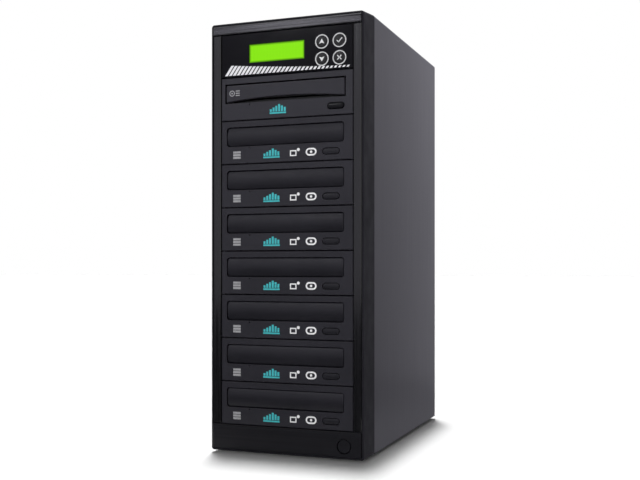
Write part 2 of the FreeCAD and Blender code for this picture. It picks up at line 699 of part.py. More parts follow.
# Sheet metal
def make_drive_cage():
    """Folded channel over the drives, with outward flanges and a shelf under each side of every bay."""
    outer = CAGE_X + FRAME_SHEET
    y = (CAGE_Y, PANEL_Y)
    cage = block((-outer, outer), y, (BASE_TOP_Z, CAGE_TOP_Z))
    inside_z = (BASE_TOP_Z - PAST, CAGE_TOP_Z - FRAME_SHEET)
    inside = block((-CAGE_X, CAGE_X), (y[0] - PAST, y[1] + PAST), inside_z)
    window_y = (DRIVE_BACK_Y + CAGE_WINDOW_MARGIN, PANEL_Y - CAGE_WINDOW_MARGIN)
    window_z = (BASE_TOP_Z + PSU_HEIGHT + CAGE_WINDOW_MARGIN, CAGE_TOP_Z - CAGE_WINDOW_MARGIN)
    window = block((-outer - PAST, outer + PAST), window_y, window_z)
    relief = block((-SIDE_X, SIDE_X), (CAGE_Y - PAST, CAGE_Y + CAGE_RELIEF), (BASE_TOP_Z - PAST, OPENING_Z))
    cage = cage.cut([inside, window, relief])
    shelf_y = (FASCIA_BACK_Y + SHELF_START, FASCIA_BACK_Y + SHELF_START + SHELF_LENGTH)
    folds = []
    for side in (-1, 1):
        x = sorted((side * outer, side * (outer + CAGE_FLANGE)))
        folds.append(block(x, (CAGE_Y, CAGE_Y + FRAME_SHEET), (OPENING_Z, CAGE_TOP_Z)))
        foot_y = (CAGE_Y + CAGE_RELIEF, PANEL_Y)
        folds.append(block(x, foot_y, (BASE_TOP_Z, BASE_TOP_Z + FRAME_SHEET)))
        shelf_x = sorted((side * (CAGE_X - SHELF_REACH), side * CAGE_X))
        for bay in range(BAY_COUNT):
            seat_z = bay_z(bay) + FASCIA_LAP
            folds.append(block(shelf_x, shelf_y, (seat_z - FRAME_SHEET, seat_z)))
    return joined(cage, *folds)


def grille_slots(x, z, y, outer):
    """Level slots of a punched grille, whose ends follow the circle swept by the fan."""
    slots = []
    for row in range(int(outer / GRILLE_STEP)):
        rise = row * GRILLE_STEP + GRILLE_STEP / 2
        reach = math.sqrt(outer ** 2 - rise ** 2)
        for middle in (z - rise, z + rise):
            slot_z = (middle - GRILLE_SLOT / 2, middle + GRILLE_SLOT / 2)
            slots.append(block((x - reach, x + reach), y, slot_z))
    return slots


def make_chassis_tub():
    """Base and rear panel, folded from one sheet, with a lip behind the front bezel."""
    base = block((-BASE_X, BASE_X), (CAGE_Y, PANEL_BACK_Y), (BASE_Z, BASE_TOP_Z))
    lip_end = POWER_X - POWER_RADIUS - POWER_RIM - PAST
    lip = block((-CAGE_X, lip_end), (CAGE_Y, CAGE_Y + FRAME_SHEET), (BASE_Z, BASE_Z + BASE_LIP))
    panel_top = CASE_TOP_Z - COVER_SHEET - FRAME_CLEARANCE
    panel = block((-BASE_X, BASE_X), (PANEL_Y, PANEL_BACK_Y), (BASE_Z, panel_top))
    through = (PANEL_Y - PAST, PANEL_BACK_Y + PAST)
    window_x = PSU_WIDTH / 2 - PSU_WINDOW_BORDER
    window_z = PSU_HEIGHT / 2 - PSU_WINDOW_BORDER
    cuts = [
        block((-window_x, window_x), through, (PSU_Z - window_z, PSU_Z + window_z)),
        *grille_slots(0, FAN_Z, through, FAN_TIP),
    ]
    for vent in range(VENT_COUNT):
        z = panel_top - VENT_TOP_MARGIN - vent * VENT_STEP
        cuts.append(block((-VENT_LENGTH / 2, VENT_LENGTH / 2), through, (z, z + VENT_HEIGHT)))
    return joined(base, lip, panel).cut(cuts)


def make_case_cover():
    """Folded cover: top and two sides, hemmed under the base and lipped over the rear panel."""
    y = (BEZEL_BACK_Y + COVER_GAP, COVER_BACK_Y)
    outer = block((-SIDE_X, SIDE_X), y, (COVER_Z, CASE_TOP_Z))
    top_edges = [edge for edge in lengthwise_edges(outer) if edge.Vertexes[0].Z > CASE_Z + FRONT_HEIGHT / 2]
    outer = outer.makeFillet(CORNER_RADIUS, top_edges)
    inner_x = SIDE_X - COVER_SHEET
    inner = block((-inner_x, inner_x), (y[0] - PAST, PANEL_BACK_Y), (BASE_Z, CASE_TOP_Z - COVER_SHEET))
    hem_x = SIDE_X - COVER_HEM
    under = block((-hem_x, hem_x), (y[0] - PAST, y[1] + PAST), (COVER_Z - PAST, BASE_Z + PAST))
    lip_x = SIDE_X - COVER_REAR_LIP
    rear_z = (COVER_Z - PAST, CASE_TOP_Z - COVER_REAR_LIP)
    rear = block((-lip_x, lip_x), (PANEL_BACK_Y - PAST, y[1] + PAST), rear_z)
    return outer.cut([inner, under, rear])


def make_feet():
    feet = []
    for x in (-SIDE_X + FOOT_SIDE_INSET, SIDE_X - FOOT_SIDE_INSET):
        for y in (BEZEL_BACK_Y + FOOT_END_INSET, PANEL_BACK_Y - FOOT_END_INSET):
            foot_x = (x - FOOT_WIDTH / 2, x + FOOT_WIDTH / 2)
            foot = block(foot_x, (y - FOOT_WIDTH / 2, y + FOOT_WIDTH / 2), (0, BASE_Z))
            upright = [edge for edge in foot.Edges if edge.Vertexes[0].Z != edge.Vertexes[-1].Z]
            feet.append(foot.makeChamfer(FOOT_CORNER, upright))
    return feet


# Power supply
def inlet_block(width, height, rise, y):
    x = (INLET_X - width / 2, INLET_X + width / 2)
    return block(x, y, (PSU_Z + rise - height / 2, PSU_Z + rise + height / 2))


def shaft_pin(x, z, seat_y):
    return rod(SHAFT_RADIUS, x, z, (seat_y - SHAFT_LENGTH, seat_y))


def make_psu_case():
    half = PSU_WIDTH / 2
    z = (BASE_TOP_Z, BASE_TOP_Z + PSU_HEIGHT)
    shell = block((-half, half), (PSU_Y, PANEL_Y), z)
    inside = half - PSU_SHEET
    hollow_z = (z[0] + PSU_SHEET, z[1] - PSU_SHEET)
    hollow = block((-inside, inside), (PSU_Y + PSU_SHEET, PANEL_Y - PSU_SHEET), hollow_z)
    through = (PANEL_Y - PSU_SHEET - PAST, PANEL_Y + PAST)
    play = 2 * INLET_CLEARANCE
    cut_out = inlet_block(INLET_WIDTH + play, INLET_HEIGHT + play, 0, through)
    case = shell.cut([hollow, cut_out, *grille_slots(PSU_FAN_X, PSU_Z, through, PSU_FAN_TIP)])
    return joined(case, shaft_pin(PSU_FAN_X, PSU_Z, PANEL_Y - PSU_SHEET))


def make_power_inlet():
    """Moulded inlet with a three-pin socket below and a well for the rocker above."""
    face_y = PANEL_Y + INLET_FLANGE
    body = inlet_block(INLET_WIDTH, INLET_HEIGHT, 0, (PANEL_Y - INLET_DEPTH, PANEL_Y))
    rim = 2 * INLET_FLANGE_RIM
    flange = inlet_block(INLET_WIDTH + rim, INLET_HEIGHT + rim, 0, (PANEL_Y, face_y))
    socket_floor_y = face_y - SOCKET_DEPTH
    socket = inlet_block(SOCKET_WIDTH, SOCKET_HEIGHT, -SOCKET_DROP, (socket_floor_y, face_y + PAST))
    top_z = PSU_Z - SOCKET_DROP + SOCKET_HEIGHT / 2
    upper = [edge for edge in lengthwise_edges(socket) if abs(edge.Vertexes[0].Z - top_z) < PAST]
    socket = socket.makeChamfer(SOCKET_CHAMFER, upper)
    well_y = (face_y - ROCKER_WELL_DEPTH, face_y + PAST)
    well_width = ROCKER_WIDTH + 2 * ROCKER_SIDE_GAP
    well = inlet_block(well_width, ROCKER_LENGTH + 2 * ROCKER_END_GAP, ROCKER_RISE, well_y)
    inlet = joined(body, flange).cut([socket, well, trunnions(TRUNNION_CLEARANCE)])
    pins = []
    for step, rise in ((-PIN_STEP, 0), (0, EARTH_RISE), (PIN_STEP, 0)):
        pin_y = (socket_floor_y, socket_floor_y + PIN_LENGTH)
        pin = inlet_block(PIN_WIDTH, PIN_HEIGHT, rise - SOCKET_DROP, pin_y)
        pin.translate(Vector(step, 0, 0))
        pins.append(pin)
    return joined(inlet, *pins)


ROCKER_PIVOT = Vector(INLET_X, PANEL_Y + INLET_FLANGE - ROCKER_PIVOT_DEPTH, PSU_Z + ROCKER_RISE)


def trunnions(grow):
    length = ROCKER_WIDTH + 2 * (TRUNNION_LENGTH + grow)
    start = ROCKER_PIVOT - Vector(length / 2, 0, 0)
    return Part.makeCylinder(TRUNNION_RADIUS + grow, length, start, Vector(1, 0, 0))


def make_rocker():
    """Rocker with a valley across its face, resting with its upper end pressed in."""
    y, z = ROCKER_PIVOT.y, ROCKER_PIVOT.z
    half = ROCKER_LENGTH / 2
    belly = ROCKER_BELLY_LENGTH / 2
    profile = [
        (y + ROCKER_PEAK, z - half),
        (y + ROCKER_VALLEY, z),
        (y + ROCKER_PEAK, z + half),
        (y, z + half),
        (y - ROCKER_BELLY, z + belly),
        (y - ROCKER_BELLY, z - belly),
        (y, z - half),
    ]
    body = side_extrusion(profile, (INLET_X - ROCKER_WIDTH / 2, INLET_X + ROCKER_WIDTH / 2))
    rocker = joined(body, trunnions(0))
    rocker.rotate(ROCKER_PIVOT, Vector(1, 0, 0), ROCKER_TILT)
    return rocker


# Fans
def make_rotor(x, z, seat_y, hub, tip, depth):
    """Rotor on a shaft that stands on the seat plane, with pitched blades inside the tip circle."""
    y = (seat_y - ROTOR_GAP - depth, seat_y - ROTOR_GAP)
    half_chord = tip * BLADE_CHORD_SHARE / 2
    span = (hub * BLADE_ROOT_SHARE, math.sqrt(tip ** 2 - half_chord ** 2))
    blades = []
    for index in range(FAN_BLADES):
        blade = block(span, (-BLADE_SHEET / 2, BLADE_SHEET / 2), (-half_chord, half_chord))
        blade.rotate(Vector(0, 0, 0), Vector(1, 0, 0), BLADE_PITCH)
        blade.rotate(Vector(0, 0, 0), Vector(0, 1, 0), index * 360 / FAN_BLADES)
        blade.translate(Vector(0, (y[0] + y[1]) / 2, 0))
        blades.append(blade)
    rotor = joined(faceted_rod(hub, HUB_FACETS, 0, 0, y), *blades)
    bore = rod(SHAFT_RADIUS + SHAFT_CLEARANCE, 0, 0, (seat_y - SHAFT_LENGTH - ROTOR_GAP, seat_y))
    rotor = rotor.cut(bore)
    rotor.translate(Vector(x, 0, z))
    return rotor


def make_psu_fan():
    return make_rotor(PSU_FAN_X, PSU_Z, PANEL_Y - PSU_SHEET, PSU_FAN_HUB, PSU_FAN_TIP, PSU_FAN_DEPTH)


def make_exhaust_fan_rotor():
    return make_rotor(0, FAN_Z, PANEL_Y - FAN_MOUNT_DEPTH, FAN_HUB, FAN_TIP, FAN_ROTOR_DEPTH)


def make_exhaust_fan_frame():
    half = FAN_SIZE / 2
    y = (PANEL_Y - FAN_DEPTH, PANEL_Y)
    frame = block((-half, half), y, (FAN_Z - half, FAN_Z + half))
    frame = frame.makeChamfer(FAN_CORNER, lengthwise_edges(frame))
    frame = frame.cut(faceted_rod(FAN_BORE, BORE_FACETS, 0, FAN_Z, y))
    mount_y = (PANEL_Y - FAN_MOUNT_DEPTH, PANEL_Y)
    struts = [square_bar(FAN_MOUNT_WIDTH, 0, FAN_Z, mount_y)]
    reach = FAN_BORE + FAN_STRUT_ROOT
    struts.append(block((-reach, reach), mount_y, (FAN_Z - FAN_STRUT / 2, FAN_Z + FAN_STRUT / 2)))
    struts.append(block((-FAN_STRUT / 2, FAN_STRUT / 2), mount_y, (FAN_Z - reach, FAN_Z + reach)))
    return joined(frame, shaft_pin(0, FAN_Z, PANEL_Y - FAN_MOUNT_DEPTH), *struts)


# Leads
def plug(x, z):
    return block((x - PLUG_WIDTH / 2, x + PLUG_WIDTH / 2), (DRIVE_BACK_Y, DRIVE_BACK_Y + PLUG_DEPTH),
                 (z - PLUG_HEIGHT / 2, z + PLUG_HEIGHT / 2))


def lead_z(drive):
    return bay_z(drive_bay(drive)) + FASCIA_LAP + LEAD_RISE


def make_data_lead(drive):
    """Flat lead from a drive back, up in its own plane, across and forward to its controller port."""
    half = LEAD_WIDTH / 2
    thin = LEAD_SHEET / 2
    z = lead_z(drive)
    across = port_x(drive)
    plane = DRIVE_BACK_Y + LEAD_FIRST + (drive - 1) * LEAD_STEP
    plane_y = (plane - thin, plane + thin)
    side_x = (LEAD_X - half, LEAD_X + half)
    port_z = (PORT_Z - half, PORT_Z + half)
    return joined(
        block(side_x, (DRIVE_BACK_Y, plane_y[1]), (z - thin, z + thin)),
        block(side_x, plane_y, (z - thin, port_z[1])),
        block((across - thin, side_x[1]), plane_y, port_z),
        block((across - thin, across + thin), (MAIN_BOARD_Y[1], plane_y[1]), port_z),
    )


def make_power_harness():
    """Trunk from the power supply, with a branch to each drive and one to the controller."""
    trunk_y = DRIVE_BACK_Y + HARNESS_BACK
    half = HARNESS_WIDTH / 2
    low = lead_z(len(DRIVES)) - half
    trunk_x = (HARNESS_X - half, HARNESS_X + half)
    trunk = block(trunk_x, (trunk_y - half, trunk_y + half), (low, PORT_Z + half))
    pieces = [square_bar(BRANCH_WIDTH, HARNESS_X, PORT_Z, (MAIN_BOARD_Y[1], trunk_y))]
    pieces.append(square_bar(BRANCH_WIDTH, HARNESS_X, BASE_TOP_Z + HARNESS_PSU_RISE, (trunk_y, PSU_Y)))
    for drive in DRIVES:
        z = lead_z(drive)
        pieces.append(square_bar(BRANCH_WIDTH, HARNESS_X, z, (DRIVE_BACK_Y + PLUG_DEPTH, trunk_y)))
        pieces.append(plug(HARNESS_X, z))
    return joined(trunk, *pieces)


def save(name, *solids):
    shape = solids[0] if len(solids) == 1 else Part.makeCompound(solids)
    shape.exportStep("parts/" + name + ".step")
    print(name, len(shape.Solids), "valid" if shape.isValid() else "NOT VALID")


def main():
    os.makedirs("parts", exist_ok=True)
    save("front_bezel", make_front_bezel())
    save("top_trim", make_top_trim())
    save("bottom_trim", make_bottom_trim())
    save("side_pillars", *make_side_pillars())
    save("power_button", make_power_button())
    save("control_panel", make_control_panel())
    save("lcd_module", make_lcd_module())
    save("display_board", make_display_board())
    for name, place in KEY_PLACES.items():
        save(name, make_key(*place))
    save("controller_tray", make_controller_tray())
    save("control_board", make_control_board())
    for drive in DRIVES:
        number = str(drive)
        save("drive_bezel_" + number, make_drive_bezel(drive))
        save("disc_tray_" + number, make_tray(drive))
        save("tray_door_" + number, make_reader_door(drive) if drive == READER else make_writer_door(drive))
        save("eject_button_" + number, make_eject_button(drive))
    save("drive_cases", *[make_drive_case(drive) for drive in DRIVES])
    save("loader_decks", *[make_loader_deck(drive) for drive in DRIVES])
    save("drive_cage", make_drive_cage())
    save("chassis_tub", make_chassis_tub())
    save("case_cover", make_case_cover())
    save("feet", *make_feet())
    save("psu_case", make_psu_case())
    save("power_inlet", make_power_inlet())
    save("power_rocker", make_rocker())
    save("psu_fan", make_psu_fan())
    save("exhaust_fan_frame", make_exhaust_fan_frame())
    save("exhaust_fan_rotor", make_exhaust_fan_rotor())
    save("drive_leads", make_power_harness(), *[make_data_lead(drive) for drive in DRIVES])


main()
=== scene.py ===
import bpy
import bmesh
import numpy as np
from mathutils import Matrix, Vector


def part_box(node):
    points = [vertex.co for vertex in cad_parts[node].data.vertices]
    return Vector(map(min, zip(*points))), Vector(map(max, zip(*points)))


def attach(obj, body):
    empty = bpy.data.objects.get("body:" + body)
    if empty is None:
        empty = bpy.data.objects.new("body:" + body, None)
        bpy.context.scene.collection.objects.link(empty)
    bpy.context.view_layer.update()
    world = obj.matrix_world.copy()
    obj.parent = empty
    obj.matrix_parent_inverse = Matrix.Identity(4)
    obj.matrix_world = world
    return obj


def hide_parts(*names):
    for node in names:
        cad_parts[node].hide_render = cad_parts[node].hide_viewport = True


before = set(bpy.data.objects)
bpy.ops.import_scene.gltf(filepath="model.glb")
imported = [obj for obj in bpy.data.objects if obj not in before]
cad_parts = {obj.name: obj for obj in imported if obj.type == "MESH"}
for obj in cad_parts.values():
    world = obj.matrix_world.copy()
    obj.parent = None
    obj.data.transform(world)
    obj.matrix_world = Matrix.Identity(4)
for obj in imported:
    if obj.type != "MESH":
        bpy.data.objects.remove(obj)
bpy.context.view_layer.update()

# %% [markdown]
# # A disc duplicator tower
# The tower is a steel box with a moulded front: a display and four keys above a column of eight disc drives.
# The solids come from the CAD model and are only dressed here. Small smooth things, such as key caps,
# printed marks and screw heads, are worked out as numpy grids and laid on the solids.

MM = 0.001

# %% [markdown]
# ## From grids to pieces
# Every new piece is one or more grids of points. A grid may close on itself round one way, as a ring does.
# Blender's own primitives could be cut and joined instead, but a grid keeps each shape as one formula. The
# faces are index arithmetic on whole arrays. Coincident points are merged, which closes seams and poles,
# and then the normals are turned outwards, which works because every piece is a closed skin.

# %% Faces of a grid
def grid_quads(rows, columns, closed_round):
    """Four corners of each cell: point, next row, next row and column, next column."""
    index = np.arange(rows * columns).reshape(rows, columns)
    if closed_round:
        index = np.concatenate([index, index[:, :1]], axis=1)
    corners = [index[:-1, :-1], index[1:, :-1], index[1:, 1:], index[:-1, 1:]]
    return np.stack(corners, axis=-1).reshape(-1, 4)


# %% Grids to a mesh piece
SAME_POINT = 0.002 * MM
SHORTEST_EDGE = 0.001 * MM
SMOOTH_DEGREES = 35.0


def make_piece(name, grids, finish, body, replaced=None):
    """Joins the grids into one mesh, closes it, smooths it up to an angle, and lets it ride on a body."""
    points = []
    quads = []
    start = 0
    for grid, closed_round in grids:
        rows, columns = grid.shape[:2]
        points.append(grid.reshape(-1, 3))
        quads.append(grid_quads(rows, columns, closed_round) + start)
        start += rows * columns
    mesh = bpy.data.meshes.new(name)
    mesh.from_pydata(np.concatenate(points), [], np.concatenate(quads))
    work = bmesh.new()
    work.from_mesh(mesh)
    bmesh.ops.remove_doubles(work, verts=work.verts, dist=SAME_POINT)
    bmesh.ops.dissolve_degenerate(work, edges=work.edges, dist=SHORTEST_EDGE)
    bmesh.ops.recalc_face_normals(work, faces=work.faces)
    work.to_mesh(mesh)
    work.free()
    mesh.polygons.foreach_set("use_smooth", np.ones(len(mesh.polygons), dtype=bool))
    mesh.set_sharp_from_angle(angle=np.radians(SMOOTH_DEGREES))
    mesh.materials.append(finish)
    piece = bpy.data.objects.new(name, mesh)
    bpy.context.scene.collection.objects.link(piece)
    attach(piece, body)
    if replaced:
        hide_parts(replaced)


# %% [markdown]
# ## Finishes from a few node helpers
# A finish is a pattern that light meets: a change of shade, of gloss or of height. Each could be wired by
# hand in the shader editor. One helper places a pattern on Object coordinates, others turn it into a shade,
# a roughness or a relief, so that each finish below is only a few lines.

# %% Patterns on Object coordinates
def new_finish(name):
    """A new material, its node tree and its shader."""
    finish = bpy.data.materials.new(name)
    finish.use_nodes = True
    tree = finish.node_tree
    return finish, tree, tree.nodes["Principled BSDF"]


def pattern_place(tree, stretch=(1.0, 1.0, 1.0), turn=(0.0, 0.0, 0.0), shift=(0.0, 0.0, 0.0)):
    """Object coordinates in metres, stretched, turned and then shifted."""
    place = tree.nodes.new("ShaderNodeTexCoord")
    mapping = tree.nodes.new("ShaderNodeMapping")
    mapping.inputs["Location"].default_value = shift
    mapping.inputs["Rotation"].default_value = turn
    mapping.inputs["Scale"].default_value = stretch
    tree.links.new(place.outputs["Object"], mapping.inputs["Vector"])
    return mapping.outputs["Vector"]


def mottle(tree, per_metre, detail=3.0, stretch=(1.0, 1.0, 1.0)):
    """Soft noise with so many lumps in a metre."""
    noise = tree.nodes.new("ShaderNodeTexNoise")
    noise.inputs["Scale"].default_value = per_metre
    noise.inputs["Detail"].default_value = detail
    tree.links.new(pattern_place(tree, stretch), noise.inputs["Vector"])
    return noise.outputs["Fac"]


# %% From a pattern to colour, roughness and relief
NOISE_LOW = 0.3
NOISE_HIGH = 0.7


def colour_ramp(tree, amount, stops):
    """A colour that goes through the stops, which are pairs of an amount and a colour."""
    ramp = tree.nodes.new("ShaderNodeValToRGB")
    elements = ramp.color_ramp.elements
    while len(elements) < len(stops):
        elements.new(0.5)
    for element, (position, colour) in zip(elements, stops):
        element.position = position
        element.color = (*colour, 1.0)
    tree.links.new(amount, ramp.inputs["Fac"])
    return ramp.outputs["Color"]


def spread(tree, amount, from_low, from_high, to_low, to_high, way="LINEAR"):
    """A number that goes from to_low to to_high as the amount goes from from_low to from_high."""
    span = tree.nodes.new("ShaderNodeMapRange")
    span.interpolation_type = way
    span.inputs["From Min"].default_value = from_low
    span.inputs["From Max"].default_value = from_high
    span.inputs["To Min"].default_value = to_low
    span.inputs["To Max"].default_value = to_high
    tree.links.new(amount, span.inputs["Value"])
    return span.outputs["Result"]


def reckon(tree, operation, first, second):
    """One arithmetic step; either side is a number or the output of another node."""
    step = tree.nodes.new("ShaderNodeMath")
    step.operation = operation
    for socket, value in zip(step.inputs, (first, second)):
        if isinstance(value, (int, float)):
            socket.default_value = value
        else:
            tree.links.new(value, socket)
    return step.outputs[0]


def paint(tree, shader, pattern, dark, light, low=NOISE_LOW, high=NOISE_HIGH):
    """Lets the colour go from dark to light as the pattern goes from low to high."""
    tree.links.new(colour_ramp(tree, pattern, [(low, dark), (high, light)]), shader.inputs["Base Color"])


def polish(tree, shader, pattern, rough):
    """Lets the roughness go from one value to another over the middle of a noise."""
    tree.links.new(spread(tree, pattern, NOISE_LOW, NOISE_HIGH, *rough), shader.inputs["Roughness"])


def relief(tree, shader, heights, rise):
    """Lets the light see the pattern as hills of the given rise in metres."""
    bump = tree.nodes.new("ShaderNodeBump")
    bump.inputs["Distance"].default_value = rise
    tree.links.new(heights, bump.inputs["Height"])
    tree.links.new(bump.outputs["Normal"], shader.inputs["Normal"])


# %% [markdown]
# ## Moulded plastic
# Black plastics differ by what light does on them: the grain left by the mould, the gloss, and a slow drift
# of shade. Flat black with one roughness would look painted on. So three noises of different size drive
# the shade, the gloss and the relief, and each plastic only chooses its numbers.

# %% Moulded plastic
DRIFT_PER_METRE = 14.0
GLOSS_PER_METRE = 60.0


def moulded_plastic(name, dark, light, rough, specular, grain_per_metre, grain_mm):
    """Plastic with a slow drift of shade, a slightly uneven gloss, and a fine grain from the mould."""
    finish, tree, shader = new_finish(name)
    paint(tree, shader, mottle(tree, DRIFT_PER_METRE), dark, light)
    polish(tree, shader, mottle(tree, GLOSS_PER_METRE), rough)
    shader.inputs["Specular IOR Level"].default_value = specular
    relief(tree, shader, mottle(tree, grain_per_metre, detail=2.0), grain_mm * MM)
    return finish


def make_plastics(rows):
    """A plastic for each row: name, dark, light, roughness, specular, grain in a metre, its rise in mm."""
    return [moulded_plastic(*row) for row in rows]


# %% Plastics of the front
bezel_satin, drive_satin, door_satin, reader_satin, panel_gloss = make_plastics([
    ("bezel_satin", (0.0105, 0.0101, 0.0133), (0.0152, 0.0147, 0.0186), (0.48, 0.58), 0.10, 1800.0, 0.012),
    ("drive_satin", (0.0125, 0.0120, 0.0162), (0.0165, 0.0158, 0.0212), (0.36, 0.44), 0.28, 1500.0, 0.010),
    ("door_satin", (0.0075, 0.0072, 0.0104), (0.0105, 0.0101, 0.0140), (0.32, 0.40), 0.26, 1500.0, 0.008),
    ("reader_satin", (0.0145, 0.0140, 0.0186), (0.0185, 0.0178, 0.0236), (0.30, 0.38), 0.28, 1500.0, 0.008),
    ("panel_gloss", (0.003, 0.0029, 0.0040), (0.005, 0.0048, 0.0065), (0.08, 0.12), 0.08, 400.0, 0.003),
])
print("finishes", len(bpy.data.materials))

# %% Plastics of the caps
key_gloss, eject_gloss, reader_gloss, rocker_plastic = make_plastics([
    ("key_gloss", (0.004, 0.004, 0.004), (0.006, 0.006, 0.0065), (0.22, 0.30), 0.25, 1200.0, 0.004),
    ("eject_gloss", (0.0080, 0.0077, 0.0106), (0.0110, 0.0106, 0.0142), (0.32, 0.40), 0.22, 900.0, 0.004),
    ("reader_gloss", (0.002, 0.002, 0.003), (0.003, 0.003, 0.004), (0.08, 0.14), 0.14, 900.0, 0.003),
    ("rocker_plastic", (0.010, 0.010, 0.010), (0.015, 0.015, 0.016), (0.22, 0.30), 0.45, 900.0, 0.005),
])
print("finishes", len(bpy.data.materials))

# %% Plastics of the trays, the inside and the back
tray_satin, deck_moulding, foot_rubber, inlet_plastic, fan_plastic, lead_sheath = make_plastics([
    ("tray_satin", (0.010, 0.010, 0.011), (0.016, 0.016, 0.0175), (0.36, 0.46), 0.40, 1600.0, 0.012),
    ("deck_moulding", (0.020, 0.020, 0.021), (0.032, 0.032, 0.034), (0.45, 0.60), 0.40, 900.0, 0.020),
    ("foot_rubber", (0.010, 0.010, 0.010), (0.020, 0.020, 0.020), (0.75, 0.90), 0.30, 700.0, 0.040),
    ("inlet_plastic", (0.008, 0.008, 0.009), (0.014, 0.014, 0.015), (0.34, 0.44), 0.40, 1400.0, 0.012),
    ("fan_plastic", (0.009, 0.009, 0.010), (0.016, 0.016, 0.018), (0.40, 0.52), 0.40, 1200.0, 0.015),
    ("lead_sheath", (0.012, 0.012, 0.013), (0.022, 0.022, 0.024), (0.45, 0.55), 0.40, 500.0, 0.030),
])
print("finishes", len(bpy.data.materials))

# %% [markdown]
# ## Brushed strips and pillars
# The strips above and below the drives are dark brushed stock, and the glossy pillars beside the drives are
# brushed upright. The scratches are too fine for a mesh. So a noise is stretched a hundredfold along one
# axis, and the same noise changes shade, gloss and height, because on metal they change together.

# %% Brushed strips
ALONG_X = (0.010, 1.0, 1.0)
ALONG_Z = (1.0, 1.0, 0.010)
SCRATCHES_PER_METRE = 760.0
SCRATCH_RISE = 0.006 * MM


def brushed_strip(name, dark, light, rough, metallic, specular, along):
    """Scratches along one axis change the shade, the gloss and the height together."""
    finish, tree, shader = new_finish(name)
    scratches = mottle(tree, SCRATCHES_PER_METRE, stretch=along)
    paint(tree, shader, scratches, dark, light)
    polish(tree, shader, scratches, rough)
    shader.inputs["Metallic"].default_value = metallic
    shader.inputs["Specular IOR Level"].default_value = specular
    relief(tree, shader, scratches, SCRATCH_RISE)
    return finish


top_strip_brushed = brushed_strip(
    "top_strip_brushed", (0.004, 0.0039, 0.0045), (0.086, 0.085, 0.093),
    rough=(0.13, 0.30), metallic=0.8, specular=0.5, along=ALONG_X)
bottom_strip_brushed = brushed_strip(
    "bottom_strip_brushed", (0.0045, 0.0044, 0.0060), (0.0085, 0.0083, 0.0108),
    rough=(0.34, 0.46), metallic=0.0, specular=0.15, along=ALONG_X)
pillar_gloss = brushed_strip(
    "pillar_gloss", (0.002, 0.002, 0.0025), (0.006, 0.006, 0.007),
    rough=(0.08, 0.20), metallic=0.0, specular=0.50, along=ALONG_Z)
print("brushed with", SCRATCHES_PER_METRE, "scratches in a metre")

# %% [markdown]
# ## Painted sheet
# The cover is sheet steel with a powder coat, which dries to a fine even orange peel. Under it the sheet
# keeps faint upright streaks from rolling. One even noise makes the peel, and a long one the streaks, so
# that the large plain side isn't dead flat in the light.

# %% Powder coat
STREAKS_PER_METRE = 320.0
STREAK_STRETCH = (1.0, 1.0, 0.02)
COAT_SPECULAR = 0.35


def powder_coat(name, dark, light, rough, peel_per_metre, peel_rise):
    """A fine orange peel over faint upright streaks of shade and gloss."""
    finish, tree, shader = new_finish(name)
    streaks = mottle(tree, STREAKS_PER_METRE, stretch=STREAK_STRETCH)
    paint(tree, shader, streaks, dark, light)
    polish(tree, shader, streaks, rough)
    shader.inputs["Specular IOR Level"].default_value = COAT_SPECULAR
    relief(tree, shader, mottle(tree, peel_per_metre, detail=2.0), peel_rise)
    return finish


cover_coat = powder_coat(
    "cover_coat", (0.0285, 0.0277, 0.0347), (0.0325, 0.0316, 0.0393),
    rough=(0.30, 0.34), peel_per_metre=1100.0, peel_rise=0.028 * MM)
print("coat with streaks at", STREAKS_PER_METRE, "in a metre")

# %% [markdown]
# ## Zinc coated steel
# The sheet inside is zinc coated, and the zinc freezes in flat crystals of slightly different grey. A noise
# would blur them into clouds. The cells of a Voronoi pattern are such flat patches, and the random colour
# of each cell gives its grey and its gloss.

# %% Zinc coated and bare steel
SHEET_GRAIN_PER_METRE = 900.0
SHEET_GRAIN_RISE = 0.006 * MM


def zinc_sheet(name, dark, light, rough, crystal_per_metre):
    """Flat crystals, each its own grey and gloss, from the cells of a Voronoi pattern."""
    finish, tree, shader = new_finish(name)
    cells = tree.nodes.new("ShaderNodeTexVoronoi")
    cells.inputs["Scale"].default_value = crystal_per_metre
    tree.links.new(pattern_place(tree), cells.inputs["Vector"])
    split = tree.nodes.new("ShaderNodeSeparateColor")
    tree.links.new(cells.outputs["Color"], split.inputs["Color"])
    paint(tree, shader, split.outputs["Red"], dark, light, low=0.0, high=1.0)
    polish(tree, shader, split.outputs["Green"], rough)
    shader.inputs["Metallic"].default_value = 1.0
    relief(tree, shader, mottle(tree, SHEET_GRAIN_PER_METRE, detail=2.0), SHEET_GRAIN_RISE)
    return finish


zinc_coat = zinc_sheet("zinc_coat", (0.42, 0.43, 0.44), (0.62, 0.63, 0.64), (0.30, 0.42), 120.0)
psu_sheet = zinc_sheet("psu_sheet", (0.34, 0.35, 0.36), (0.46, 0.47, 0.48), (0.32, 0.44), 260.0)
screw_steel = zinc_sheet("screw_steel", (0.36, 0.36, 0.37), (0.50, 0.50, 0.51), (0.24, 0.34), 700.0)
print("finishes", len(bpy.data.materials))

# %% [markdown]
# ## The display
# The display glows yellow green through glass and shows two rows of character cells, a little darker than
# the gaps between them. It could be lit by a lamp behind, but an even glow is what such a backlight gives,
# so the shader emits it. A brick pattern without offset makes the cells. The glow dims at the rim, which is
# painted shade along the frame of the window.

# %% Display
DISPLAY_FRAME = 4.2 * MM
# Width of the painted shade at the rim of the display, and the glow left at the very edge.
RIM_SHADE_WIDTH = 2.4 * MM
RIM_SHADE_GLOW = 0.25
CELL_GAP = 0.4 * MM
CELL_SOFTNESS = 0.3
CELLS_ACROSS = 17
CELL_ROWS = 2.4
CELL_COLOURS = {
    "Color1": (0.236, 0.765, 0.004, 1.0), "Color2": (0.238, 0.770, 0.004, 1.0),
    "Mortar": (0.243, 0.782, 0.004, 1.0),
}


